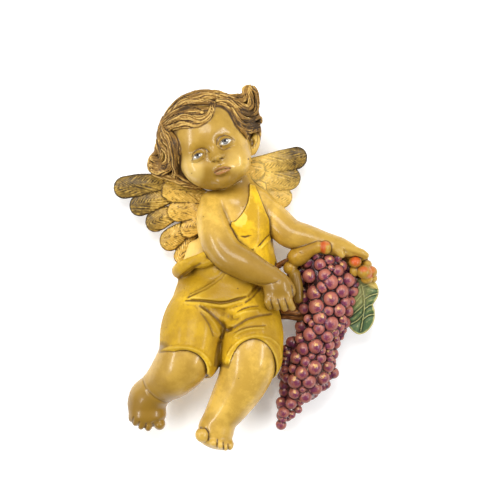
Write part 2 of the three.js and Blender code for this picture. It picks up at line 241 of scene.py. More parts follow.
near_leg = Clay((-112, 10, -215), (0, 100, -80))
limb(
    near_leg,
    [
        (-43, 53, -110, 27.5), (-47, 61, -131, 27.5), (-58, 58, -147, 24.2),
        (-70, 52, -158, 19.5), (-84, 45, -171, 17),
    ],
    per=8,
)
ball(near_leg, (-86.5, 42, -178), (19.5, 17, 24), roll=-8, soft=5)
ball(near_leg, (-85.5, 44, -191), (18.5, 14, 11), roll=5, soft=4)
NEAR_TOES = [
    # x, depth, z, radius across, radius up
    (-73.6, 46, -199.5, 6.1, 6.4), (-84.3, 51, -200.8, 3.9, 5.6), (-91.4, 51, -199.3, 3.7, 5.6),
    (-97.3, 49, -196.3, 3.4, 5.2), (-101.8, 46, -192.8, 3.0, 4.8),
]
for x, depth, z, across, up in NEAR_TOES:
    ball(near_leg, (x, depth - 1.5, z), (across * 0.95, across * 1.4, up * 0.95), roll=-12, soft=1.6)
stroke(
    near_leg, [(-91, -151, 0.5), (-86, -162, 1.1), (-77, -171, 1.3), (-66, -177, 0.8)], lift=0.5, soft=2,
    cut=True,
)
stroke(near_leg, [(-80, -196.5, 0.7), (-79.3, -202, 0.9)], lift=0.2, soft=0.6, cut=True)
stroke(near_leg, [(-80, -197, 0.7), (-74, -195, 0.6), (-69, -194, 0.4)], lift=0.2, soft=0.8, cut=True)
for slit in [(-86.3, -197.5, -87.6, -203.5), (-93, -195.5, -95, -201.5), (-99, -191, -100.6, -197)]:
    stroke(near_leg, [(slit[0], slit[1], 0.6), (slit[2], slit[3], 0.9)], lift=0.2, soft=0.6, cut=True)
far_leg = Clay((-48, 10, -232), (60, 100, -80))
limb(
    far_leg,
    [
        (20, 55, -108, 29), (17, 61, -130, 28.5), (11, 59, -152, 25.5), (-2, 54, -176, 21),
        (-15, 52, -196, 16),
    ],
    per=8,
)
ball(far_leg, (-17, 52, -205), (18, 17, 15), roll=-18, soft=5)
ball(far_leg, (-17, 56, -214.5), (18.5, 12, 8.5), roll=-15, soft=3)
ball(far_leg, (-30, 65, -207.5), (7.2, 8, 7.6), roll=-10, soft=0.8)
FAR_TOES = [
    (-19, 67, -214.8, 4.2, 4.6), (-12.3, 67, -217, 3.9, 5.0), (-7, 65, -219, 3.5, 4.8),
    (-2.4, 62, -219, 3.1, 4.6),
]
for x, depth, z, across, up in FAR_TOES:
    ball(far_leg, (x, depth - 1.5, z), (across * 0.95, across * 1.4, up * 0.95), roll=-8, soft=1.6)
stroke(
    far_leg, [(-33, -200.5, 0.6), (-27, -200.8, 0.8), (-23.8, -205, 0.9), (-24.2, -212, 0.9)], lift=0.2,
    soft=0.6, cut=True,
)
for slit in [(-15.2, -212, -15.5, -219.5), (-9.5, -214.5, -9, -222), (-4.8, -216.5, -4.4, -223.5)]:
    stroke(far_leg, [(slit[0], slit[1], 0.6), (slit[2], slit[3], 0.9)], lift=0.2, soft=0.6, cut=True)
skin.take(near_leg, 2)
skin.take(far_leg, 2)

# Head and face
# A child's round head, cast in one with the neck and leaning on the shoulder.
# Skull, jaw and cheeks come first, then eyes, nose, lips and ear are laid on and their creases cut.

ROLL = 27.5
head = Clay((-75, 0, 28), (35, 100, 132))
ball(head, (-26, 50, 87), (40, 39, 41), ROLL)
ball(head, (-16, 55, 66.5), (35, 31, 31), ROLL, soft=8)
ball(head, (-32, 68, 56), (15, 14, 14), ROLL, soft=8)
ball(head, (2, 69, 62), (14.5, 14, 15), ROLL, soft=8)
ball(head, (-8, 71, 45.5), (11, 11, 9), 15, soft=7)
ball(head, (-10, 77.5, 56), (10.5, 9, 9), 15, soft=6)
EYES = [
    # x, z, tilt, half length, height above and below the middle line
    (-34.0, 65.6, 31, 6.4, 3.1, 1.6),
    (-6.9, 79.8, 22, 6.8, 3.3, 2.4),
]
CREASES = [
    [
        (-39.5, 66, 0.5), (-38.5, 69, 0.6), (-35.4, 72.3, 0.8), (-30, 74.3, 0.9), (-25.6, 72.8, 0.9),
        (-22.4, 70, 0.5),
    ],
    [
        (-15.6, 77.6, 0.5), (-15.4, 81.4, 0.8), (-13, 84.8, 0.9), (-8.2, 86.7, 0.9), (-3.4, 86, 0.8),
        (2, 82.4, 0.5),
    ],
    [(-39.6, 60.4, 0.4), (-34.2, 60.4, 0.6), (-28.4, 64.2, 0.4)],
    [(-15.2, 76.4, 0.5), (-13.2, 73.6, 0.7), (-8.7, 72.4, 0.7), (-2.4, 75, 0.4)],
]
for x, z, tilt, half, above, below in EYES:
    depth = head.front(x, z)
    ball(head, (x + 1, depth + 6.4, z + 1), (12.5, 9, 10), tilt, soft=6, cut=True)
    ball(head, (x, depth - 5.6, z + 0.8), (9.2, 7, 7), tilt, soft=1.5)
    c, s = math.cos(math.radians(tilt)), math.sin(math.radians(tilt))
    for height, radius in ((above, 1.0), (-below, 0.8)):
        margin = []
        for share in (-1, -0.55, 0, 0.55, 1):
            u, v = share * half, height * (1 - share * share)
            margin.append((x + u * c - v * s, z + u * s + v * c, radius))
        stroke(head, margin, lift=0.4, soft=0.7)
    ball(
        head, (x, head.front(x, z) + 1.6, z + 0.3), (half * 0.8, 2.6, above * 0.7), tilt, soft=0.6,
        cut=True,
    )
for crease in CREASES:
    stroke(head, crease, lift=0.3, soft=1.0, cut=True)
limb(head, [(-19, 80, 80, 3), (-17.4, 83, 73, 3.4), (-15.2, 86, 67.4, 4.2)], soft=5)
ball(head, (-14.2, 89, 65.2), (4.6, 4.4, 3.8), 20, soft=2)
ball(head, (-18.6, 86.4, 63.4), (2.8, 3.2, 2.4), 20, soft=1.4)
ball(head, (-10.2, 86.4, 66.6), (2.8, 3.2, 2.4), 20, soft=1.4)
ball(head, (-17.4, 89.6, 61.2), (1.6, 2.4, 1.1), 20, soft=0.5, cut=True)
ball(head, (-11.2, 89.6, 63.8), (1.6, 2.4, 1.1), 20, soft=0.5, cut=True)
stroke(head, [(-13.8, 60.4, 1.0), (-11.8, 57.2, 1.2)], lift=0.5, soft=1.4, cut=True)
UPPER_LIP = [
    (-17.2, 51.0, 0.9), (-13.6, 54.3, 1.8), (-11.4, 54.3, 1.5), (-8.8, 55.5, 1.8), (-2.6, 54.9, 0.8),
]
LOWER_LIP = [(-15.2, 49.2, 1.0), (-11.6, 49.8, 2.1), (-7.6, 51.6, 1.9), (-3.8, 53.2, 0.9)]
stroke(head, UPPER_LIP, lift=0.2, soft=1.2)
stroke(head, LOWER_LIP, lift=0.2, soft=1.2)
MOUTH = [(-17.8, 50.2, 0.7), (-13.5, 52.2, 0.6), (-10, 53.2, 0.6), (-7, 53.8, 0.6), (-2.0, 54.7, 0.8)]
stroke(head, MOUTH, lift=0.7, soft=0.6, cut=True)
stroke(head, [(-16, 45.4, 1.8), (-10.4, 45.4, 2.2), (-4.6, 48, 1.6)], lift=1.0, soft=3, cut=True)
ball(head, (20.5, 47, 82), (6.4, 8, 13), -16, soft=1.5)
ball(head, (19.6, 56, 81.5), (2.6, 4, 4.4), -16, soft=1, cut=True)
stroke(
    head, [(17, 86, 0.6), (20, 91, 0.9), (24.4, 90, 0.9), (24.6, 84, 0.8), (22, 78, 0.6)], lift=0.3,
    soft=0.8, cut=True,
)
skin.take(head, 1.0)

# Hair
# Cast in one with the head: a cap behind the hairline, with waved locks swept over it.
# Each lock is combed into fine strands, with grooves of uneven depth between them.

hair = Clay((-96, 0, 26), (40, 106, 150))
ball(hair, (-26, 46, 88), (45, 40, 42.5), ROLL)
ball(hair, (-17, 84, 76), (34.5, 40, 42), ROLL, soft=2, cut=True)
ball(hair, (-71, 46, 60), (11, 12, 13), -10, soft=4)
ball(hair, (-48, 40, 46), (18, 12, 7), -30, soft=4)
ball(hair, (16, 44, 124), (8, 8, 14), 10, soft=4)
ball(hair, (21.5, 44, 104), (6, 7, 9), 0, soft=2)


def over_head(x, z, lift):
    """Depth of the hair's general surface over the skull, easing back past its edge."""
    rest = 1 - ((x + 26) / 45) ** 2 - ((z - 88) / 43) ** 2
    return 45 + 41 * math.sqrt(0.5 * (rest + math.hypot(rest, 0.3))) + lift


LOCKS = [
    # x, z, half width, how far it stands out
    [
        (-6, 127, 4, -4), (-15, 129, 5, -3), (-28, 129.5, 5, -2), (-41, 127.5, 5.2, -2),
        (-53, 120.5, 5.2, -2), (-62.5, 110, 5.2, -2), (-69, 98, 5, -2), (-70.5, 86, 5, -2),
    ],
    [
        (-17, 125, 4, 0), (-27, 126, 4.5, 1), (-38, 124.5, 4.5, 0.5), (-49, 119.5, 4.8, 0),
        (-59, 111.5, 4.8, 0), (-66, 103, 4.5, 0), (-70, 93, 4.5, 0), (-70, 82, 4.5, 0),
    ],
    [
        (-18.5, 118.5, 2.6, 2.5), (-25, 119.7, 3, 2.5), (-34, 120, 3.4, 2.5), (-43, 119.5, 3.6, 2),
        (-52, 115.5, 3.8, 1.5), (-60, 109, 4, 1), (-67, 101, 4, 1), (-71, 92, 4, 1),
    ],
    [
        (-24, 112.6, 2.4, 1), (-33, 112, 3, 1.5), (-42, 113, 3.4, 1.5), (-51, 112, 3.6, 1.5),
        (-59, 107.5, 3.6, 1.5), (-66, 101.5, 3.6, 1.5), (-70.5, 95, 3.5, 1),
    ],
    [
        (-19, 118, 2.4, 2.5), (-20.5, 111.5, 3, 2.5), (-23.5, 105.5, 3.8, 2.4), (-28.5, 102, 4.4, 2.4),
        (-35, 101.4, 4.6, 2.4), (-43, 103, 4.4, 2.2), (-51, 103.8, 4.2, 2), (-59, 101.5, 3.8, 1.6),
        (-66, 98, 3.4, 1),
    ],
    [
        (-26, 99.6, 2.6, 1.2), (-33, 97, 3.4, 1.4), (-41, 97, 3.8, 1.6), (-49, 97.4, 3.8, 1.6),
        (-56, 95.8, 3.4, 1.4), (-62, 94.5, 3.2, 1.2), (-68, 95, 3, 0.5),
    ],
    [(-30, 108.5, 3.2, 1.4), (-38, 109.5, 3.4, 1.6), (-46, 110, 3.2, 1.4), (-55, 107, 3.2, 1.2)],
    [
        (-68, 98, 3.6, 2), (-65.5, 91, 4, 3), (-61.5, 84, 4.4, 4), (-58, 77, 4.6, 4.5),
        (-56.5, 69, 4.6, 4), (-56, 61, 4.4, 3), (-56.5, 54, 4, 1), (-58, 49, 3.5, -2),
    ],
    [
        (-64, 92, 2.6, 1), (-58.5, 86, 3, 2), (-54.5, 79, 3, 2), (-53, 70, 3, 1), (-52.5, 61, 3, -1),
        (-51.5, 53, 3, -4), (-47, 47, 3.4, -7), (-40, 43, 3.4, -10), (-34, 40, 3, -12),
    ],
    [
        (-71, 96, 4.6, 0), (-71.5, 88, 4.8, 0), (-70, 81, 4.4, 1), (-66.5, 75, 4, 2), (-64, 69, 4, 2.5),
        (-64.5, 62.5, 4, 2.5), (-69, 58.5, 4, 2), (-76, 58, 3.6, 1), (-82, 60, 3, 0),
    ],
    [
        (-68.5, 90, 3.4, 2), (-66, 83, 3.6, 3), (-61.5, 77, 3.6, 3.5), (-60, 69, 3.8, 3.5),
        (-60.5, 61, 4, 3.2), (-65, 55, 4, 3), (-73, 53, 4, 2), (-80, 54.5, 3.4, 0.5),
    ],
    [
        (-73, 84, 4, -1), (-72.5, 77, 4, 0), (-71, 71, 3.6, 1.5), (-71.5, 66, 3.4, 2),
        (-76, 64.5, 3.4, 2), (-81, 66.5, 3, 1),
    ],
    [
        (-75.5, 79, 3.2, -3), (-76, 73, 3.2, -2), (-79, 69, 3.2, -1), (-82.6, 64, 3.2, -1),
        (-83, 58, 3.2, -2), (-80, 53.5, 3.4, -2), (-74, 50.5, 3.8, -3), (-66, 49, 4, -3),
        (-59, 46.5, 3.8, -4),
    ],
    [
        (-62, 49, 4, -4), (-55, 44.5, 4.2, -5), (-47, 42, 4.2, -7), (-39, 40.5, 3.8, -9),
        (-33, 39.5, 3, -11),
    ],
    [(-57, 52, 3.4, 0), (-51, 49, 3.6, -3), (-45, 45.5, 3.6, -6), (-38, 42.5, 3.2, -9)],
    [
        (-18, 126, 3.4, 0), (-10, 125.5, 3.6, 0), (-3, 121, 3.8, 0.5), (3, 115, 3.8, 1),
        (9, 110.5, 3.6, 1.5), (15.5, 109, 3.4, 2), (21, 111.5, 3.2, 2.5), (24, 117.5, 3, 2.5),
        (24, 125, 2.8, 2), (23, 132, 2.8, 1.5), (20, 137, 2.8, 1),
    ],
    [
        (-12, 127, 3.4, -1), (-5, 125, 3.6, 0), (2, 121, 4, 1), (8, 116.5, 4.6, 2.5),
        (14, 115.5, 4.6, 3.5), (17.5, 120, 4, 3.5), (17.5, 127, 3.4, 3), (16, 133, 3, 2),
        (17, 137, 2.6, 1.5),
    ],
    [
        (-4, 127.5, 3, -3), (2, 128, 3.2, -2), (8, 128, 3.2, -1), (11.5, 131, 3, 0), (11.5, 135.5, 3, 0),
        (15, 138, 2.6, 0), (19, 137.5, 2.6, 0),
    ],
    [(0, 124.5, 3, -1), (6, 123, 3.2, 0), (11.5, 124, 3.2, 1), (14.2, 129, 3, 1), (13.8, 135, 2.8, 1)],
    [
        (22.5, 135, 2.8, -2), (23.3, 128, 3, -2), (23.3, 119, 3.2, -3), (23.8, 111, 3.2, -4),
        (25.6, 106, 3.2, -4),
    ],
    [
        (-15, 121, 3, 1), (-8, 121.5, 3.2, 1.5), (-1, 118, 3.4, 2), (3.5, 112, 3.4, 2.2),
        (7, 106.5, 3.4, 2.2), (12, 103.5, 3.4, 2.4), (18, 103, 3.2, 2.5), (23, 105.5, 3, 2),
        (27, 106.5, 2.6, 0.5), (27.6, 102.5, 2.6, 0),
    ],
    [
        (-2, 113.5, 2.6, 1.2), (1.5, 108, 3, 1.5), (4.5, 102.5, 3.2, 1.8), (9, 98.5, 3.2, 2),
        (15, 97.5, 3.2, 2.2), (21, 98.5, 3, 1.5), (25.5, 100, 2.8, 0.5),
    ],
    [
        (-17, 116.5, 2.4, -0.5), (-11, 117.5, 3, -0.5), (-5.5, 114.5, 3, -0.5), (-2, 109.5, 2.8, -0.3),
        (1.2, 103.5, 2.8, 0.2), (5, 97.5, 2.8, 0.5), (10, 93.5, 2.8, 1), (16, 92.5, 2.8, 1),
        (22, 94, 2.8, 0),
    ],
    [(8, 94, 2.6, 0.5), (12, 90, 2.6, 0.5), (14, 86, 2.2, 0)],
    [
        (24.5, 98, 3.4, -4), (25, 91, 3.6, -6), (24.4, 84, 3.4, -8), (22.4, 77, 3, -10),
        (20.4, 72, 2.4, -12),
    ],
    [(14, 94, 3, 0), (20, 95, 3.2, -1), (25, 95, 3, -3)],
]
STRAND_PITCH = 2.1
STRAND_DEPTH = 1.15
THROUGH = 0.72


def along(x, depth, z, line):
    """Where points lie by a line of stations: distance off it, share of its width across, and run."""
    shape = np.broadcast_shapes(x.shape, depth.shape, z.shape)
    distance = np.full(shape, FAR, dtype=np.float32)
    side = np.zeros(shape, dtype=np.float32)
    run_at = np.zeros(shape, dtype=np.float32)
    travelled = 0.0
    for a, b in zip(line[:-1], line[1:]):
        run = b[:3] - a[:3]
        length = math.sqrt(run @ run)
        share = ((x - a[0]) * run[0] + (depth - a[1]) * run[1] + (z - a[2]) * run[2]) / length**2
        share = np.clip(share, 0, 1)
        ox, od, oz = x - a[0] - share * run[0], depth - a[1] - share * run[1], z - a[2] - share * run[2]
        flat = math.hypot(run[0], run[2]) + 1e-6
        sideways = (oz * run[0] - ox * run[2]) / flat
        width = a[3] + share * (b[3] - a[3])
        through = np.sqrt(np.maximum(ox * ox + od * od + oz * oz - sideways * sideways, 0))
        off = np.sqrt(sideways**2 + (through / THROUGH) ** 2) - width
        nearer = off < distance
        distance = np.where(nearer, off, distance)
        side = np.where(nearer, sideways / width, side)
        run_at = np.where(nearer, travelled + share * length, run_at)
        travelled += length
    return distance, side, run_at


def combed(side, run, width, seed):
    """Depth of the grooves between a lock's strands, from 0 on a ridge to 1 in the deepest groove."""
    ridges = max(2, round(2 * width / STRAND_PITCH))
    wander = 0.55 * np.sin(run * 0.14 + seed * 2.1) + 0.3 * np.sin(run * 0.33 + side * 2 + seed * 5.3)
    phase = side * ridges / 2 + wander + seed * 0.37
    groove = (1 - np.abs(np.sin(math.pi * phase))) ** 1.3
    return groove * (0.55 + 0.45 * np.sin(np.round(phase) * 2.4 + run * 0.08 + seed))


lock_lines = []
for seed, stations in enumerate(LOCKS):
    placed = [(x, over_head(x, z, lift), z, half) for x, z, half, lift in stations]
    line = eased(placed, 5)
    lock_lines.append(line)
    reach = line[:, 3].max() + 4
    place, (x, depth, z) = hair.window(line[:, :3].min(0) - reach, line[:, :3].max(0) + reach)
    distance, side, run = along(x, depth, z, line)
    groove = combed(side, run, line[:, 3].mean(), seed)
    hair.add(place, distance * 0.9 + STRAND_DEPTH * groove, 0.3)

# Romper
# Thin cloth, shown in the same resin: a bodice that has slipped off one shoulder, and short breeches.
# It is the trunk made thicker within a cut outline, with folds pressed in and hems rolled at the knees.

cloth = Clay((-90, -2, -172), (64, 102, 50))
cloth.take(trunk)
cloth.d -= 2.2
limb(
    cloth, [(19, 42, 38, 7), (23, 48, 24, 9), (22, 48, 8, 13), (21, 46, -12, 14), (16, 44, -34, 15)],
    soft=8,
)


def inside_outline(x, z, outline):
    """Signed distance in the picture plane from a closed outline of x, z points."""
    points = np.array(outline, dtype=float)
    nearest = np.full(np.broadcast_shapes(x.shape, z.shape), 1e9, dtype=np.float32)
    crossings = np.zeros(nearest.shape, dtype=bool)
    for (ax, az), (bx, bz) in zip(points, np.roll(points, -1, 0)):
        run_x, run_z = bx - ax, bz - az
        share = np.clip(((x - ax) * run_x + (z - az) * run_z) / (run_x**2 + run_z**2), 0, 1)
        off = (x - ax - share * run_x) ** 2 + (z - az - share * run_z) ** 2
        np.minimum(nearest, off, out=nearest)
        if az != bz:
            crossings ^= ((z < az) != (z < bz)) & (x < ax + (z - az) * run_x / run_z)
    return np.where(crossings, -1, 1) * np.sqrt(nearest)


BIB = [
    (16.6, 41), (22, 40), (26, 30), (29, 22), (33, 12), (37, 4), (39, -5), (40.6, -15), (42, -28),
    (46, -42),
    (60, -60), (62, -120), (-80, -120), (-70, -60), (-62, -50), (-56, -40), (-42, -35), (-33, -30),
    (-24, -26), (-16, -26), (-8, -16), (-1, 2.5), (3, 3.5), (8, 9), (12, 15), (15, 22), (16.6, 30),
]
place, (x, depth, z) = cloth.window((-90, -2, -172), (64, 102, 50))
cloth.d[place] = -join(-cloth.d[place], -inside_outline(x, z, BIB), 1.5)
ball(cloth, (-9, 25, -80), (51, 46, 38), soft=6)
breeches = Clay((-90, -2, -172), (64, 102, -30))
limb(breeches, [(-28, 38, -80, 32), (-38, 50, -102, 33.5), (-42, 60, -128, 31)], per=8)
ball(breeches, (-47.7, 100, -146), (24.9, 60, 24.5), soft=0.8, cut=True)
ball(breeches, (-63, 96, -153), (27, 60, 30), soft=0.8, cut=True)
ball(breeches, (-33, 100, -163), (21, 60, 20), soft=0.8, cut=True)
far_breeches = Clay((-90, -2, -172), (64, 102, -30))
limb(far_breeches, [(12, 40, -84, 32), (18, 54, -106, 32), (18, 60, -130, 31.5)], per=8)
ball(far_breeches, (20.5, 100, -149), (26, 62, 39), soft=0.8, cut=True)
breeches.take(far_breeches, 2.5)
cloth.take(breeches, 5)


def raise_patch(clay, outline, lift, soft):
    """Thickens the surface within an outline, sloping up over the distance `soft` from its edge."""
    points = np.array(outline)
    low_x, low_z = points.min(0) - 2
    high_x, high_z = points.max(0) + 2
    place, (x, _, z) = clay.window((low_x, 30, low_z), (high_x, 100, high_z))
    clay.d[place] -= lift * np.clip(-inside_outline(x, z, outline) / soft, 0, 1)


# The part of the bodice that has fallen: a rolled lip at the left of the waist, and a flap beside it
limb(
    cloth,
    [
        (-54, 38, -46, 7.6), (-50, 50, -43, 7.8), (-43, 58, -39, 6.5), (-35, 63, -34.5, 5),
        (-27, 65, -29.5, 3.5),
    ],
    soft=3,
)
limb(cloth, [(-33, 62, -39, 4), (-27, 66, -38, 4), (-20, 69, -36, 3)], soft=4)
stroke(
    cloth, [(-56, -55, 1.5), (-48, -49, 1.8), (-40, -43, 1.6), (-33, -38.5, 0.9)], lift=0.8, soft=1.6,
    cut=True,
)
stroke(cloth, [(-26, -40, 0.6), (-20, -36, 1.0), (-16, -33, 0.8)], lift=0.6, soft=1.5, cut=True)
FLAP = [
    (-46, -74.5), (-41, -70), (-28, -63.5), (-20, -58.5), (-12, -52.5), (-7, -46), (4, -44), (12, -50),
    (22, -56), (26, -59), (20, -65), (15, -71), (6, -73.5), (-6, -76.5), (-17, -76.5), (-32, -75),
]
raise_patch(cloth, FLAP, 3.0, 2.2)
FOLDS = [
    # how far it stands off, how softly it blends, whether it is pressed in, x, z and radius along it
    (
        0.4, 1.6, False,
        [(-41, -69.5, 0.8), (-28, -63, 1.3), (-20, -58, 1.3), (-12, -52, 1.0), (-8, -47, 0.6)],
    ),
    (
        0.2, 2, False,
        [
            (-46, -76.5, 1.2), (-35, -77, 2.0), (-26, -78, 2.2), (-18, -80, 2.4), (-9, -80.5, 2.4),
            (0, -78, 2.2), (9, -75.5, 2.0), (14, -73, 1.6),
        ],
    ),
    (
        0.2, 1.2, True,
        [
            (-46, -74.4, 0.8), (-40, -74, 1.1), (-30, -74.7, 1.3), (-18, -76.2, 1.5), (-10, -76.8, 1.5),
            (0, -74.6, 1.5), (7, -72.4, 1.3), (12, -70.8, 0.7),
        ],
    ),
    (0.6, 1.5, True, [(13, -76, 0.7), (19, -72, 1.1), (25, -66, 0.8), (28, -62, 0.6)]),
    # Folds that run into the crotch, and small ones over the far thigh
    (
        0.5, 3, False,
        [
            (-33, -79.5, 1.0), (-28, -85, 2.2), (-23, -91, 2.6), (-18, -98, 2.6), (-14, -106, 2.2),
            (-13, -113, 1.4),
        ],
    ),
    (
        0.5, 2, True,
        [(-30, -80.5, 0.9), (-24, -84.5, 1.8), (-17, -91, 2.3), (-11, -97, 2.6), (-6, -103, 2.6)],
    ),
    (
        0.8, 2.5, True,
        [(-9, -103, 1.6), (-11, -110, 2.0), (-13, -118, 2.2), (-15, -128, 2.4), (-16, -138, 2.6)],
    ),
    (0.5, 1.4, True, [(-31, -86, 0.4), (-26, -92.5, 0.9), (-21, -101, 1.0), (-18.5, -109, 0.7)]),
    (2.6, 6, True, [(-16, -84, 2), (-6, -90, 4), (2, -92, 3)]),
    (
        0.3, 2, True,
        [
            (-5, -104, 2.2), (1, -100.5, 2.3), (8, -96, 2.2), (14, -92.3, 1.9), (24, -89.5, 1.6),
            (37, -88, 1.1),
        ],
    ),
    (0.2, 2.5, False, [(2, -90, 1.0), (12, -86, 1.8), (24, -84.5, 1.6)]),
    (0.5, 1.2, True, [(4, -85.5, 0.5), (10, -82.4, 0.9), (17, -80.4, 1.0), (25, -80, 0.6)]),
    (0.3, 2, False, [(2, -109, 0.8), (8, -104.5, 1.4), (18, -101.4, 1.5), (30, -101.2, 1.0)]),
    (0.5, 1.6, True, [(0, -106, 0.5), (9, -101.4, 0.9), (20, -98.8, 0.9), (32, -98.6, 0.5)]),
    (0.4, 1.0, True, [(8, -11.2, 0.5), (12, -12, 1.0), (15, -11.2, 0.9), (19, -10.4, 0.4)]),
    (0.4, 1.0, True, [(25, -21.6, 0.5), (29, -17.4, 0.9), (33, -13, 0.9), (36.5, -9.6, 0.4)]),
    (0.2, 2, False, [(28, -22.6, 0.8), (32, -18.4, 1.2), (37, -13.6, 0.8)]),
    # Rolled hems
    (
        -0.2, 1.6, False,
        [
            (-74, -127, 1.2), (-66, -122.6, 1.5), (-57, -120.3, 1.5), (-50, -119.6, 1.5),
            (-40, -120.6, 1.5), (-31, -124.6, 1.5), (-25.5, -130, 1.5), (-21.8, -137, 1.4),
        ],
    ),
    (
        -0.2, 1.6, False,
        [
            (-6.6, -134, 1.4), (-3.6, -126.5, 1.5), (0.8, -119.8, 1.5), (7.4, -113.6, 1.5),
            (14, -110.5, 1.5), (22, -108.7, 1.5), (30, -109.4, 1.5), (37, -112, 1.5), (42.5, -116.4, 1.5),
            (46, -122.6, 1.5), (47, -130, 1.4),
        ],
    ),
]
for lift, soft, pressed_in, points in FOLDS:
    stroke(cloth, points, lift, soft, pressed_in)

# Wings
# Two short wings, cast in one with the shoulders and clear of the wall behind.
# Long feathers are fanned out, with broad short ones over their roots, all with fine flowing barbs.

wing = Clay((-128, 6, -50), (84, 48, 84))
FEATHERS = [
    # root x, z, tip x, z, width, depth of its front
    ((-40, -10), (-57, -38.5), 15, 20.5), ((-40, 2), (-73, -22), 22, 22),
    ((-52, 16), (-88.5, -1), 22, 23.6),
    ((-58, 32), (-105, 16.5), 22.5, 25.2), ((-58, 45), (-121.5, 36.5), 23, 26.8),
    ((-26, 4), (-53, -8), 19, 28), ((-26, 14), (-67, 14), 23, 29), ((-28, 28), (-72.5, 37), 25, 30.5),
    ((14, 34), (60, 27.5), 22.5, 23.5), ((10, 46), (68.5, 49), 24, 25), ((10, 60), (75, 71), 23, 26.6),
    ((6, 40), (34, 38), 17, 29), ((6, 54), (32.5, 57), 20, 30.4),
]


def feather(x, z, root, tip, width):
    """Distance from a feather's outline in the picture plane, and the places across and along it."""
    length = math.hypot(tip[0] - root[0], tip[1] - root[1])
    ux, uz = (tip[0] - root[0]) / length, (tip[1] - root[1]) / length
    run = (x - root[0]) * ux + (z - root[1]) * uz
    side = (z - root[1]) * ux - (x - root[0]) * uz
    side = side + 1.2 * np.sin(math.pi * np.clip(run / length, 0, 1))
    half = width * (0.3 + 0.2 * np.clip(run / (0.6 * length), 0, 1))
    past = np.maximum(run - length + half, 0)
    outline = np.maximum(np.sqrt(past**2 + side**2) - half, -run - 4)
    return outline, side, run, half, length


def barb_sweep(side, run, number):
    """Place across the barbs, which sweep back from the middle of a feather."""
    return np.abs(side) * 1.5 + run * 0.55 + 1.6 * np.sin(side * 0.45 + run * 0.13 + number)


def feather_top(side, run, half, length, front, number):
    """Depth of a feather's front: crowned across, with a low quill and barbs."""
    barb = np.sin(barb_sweep(side, run, number) * 2.3)
    barb = barb * (0.6 + 0.4 * np.sin(run * 0.31 + side * 0.7 + number * 2))
    crown = 1.8 * (1 - (side / half) ** 2)
    quill = 0.5 * np.exp(-((side / 1.0) ** 2)) * np.clip((length - run) / length, 0, 1)
    barb_height = 0.18 if front > 27.5 else 0.42
    return front - 1.6 + crown + quill + barb_height * barb + 1.4 * np.clip(run / length, 0, 1)


for number, (root, tip, width, front) in enumerate(FEATHERS):
    low_x, high_x = min(root[0], tip[0]) - width, max(root[0], tip[0]) + width
    low_z, high_z = min(root[1], tip[1]) - width, max(root[1], tip[1]) + width
    place, (x, depth, z) = wing.window((low_x, front - 12, low_z), (high_x, front + 5, high_z))
    outline, side, run, half, length = feather(x, z, root, tip, width)
    top = feather_top(side, run, half, length, front, number)
    body = np.maximum((depth - top) * 0.85, front - 6.5 - depth)
    wing.add(place, -join(-body, -outline, 1.2), 0.2)
limb(wing, [(-60, 16, 36, 8), (-42, 18, 18, 13), (-24, 20, -2, 13)], soft=2)
limb(wing, [(44, 16, 58, 6), (30, 18, 46, 12), (16, 20, 28, 13)], soft=2)

# Grapes
# A long bunch hanging from the cane, cast in one with the fruit and the thigh.
# Round berries of many sizes are pressed together over a plain core.

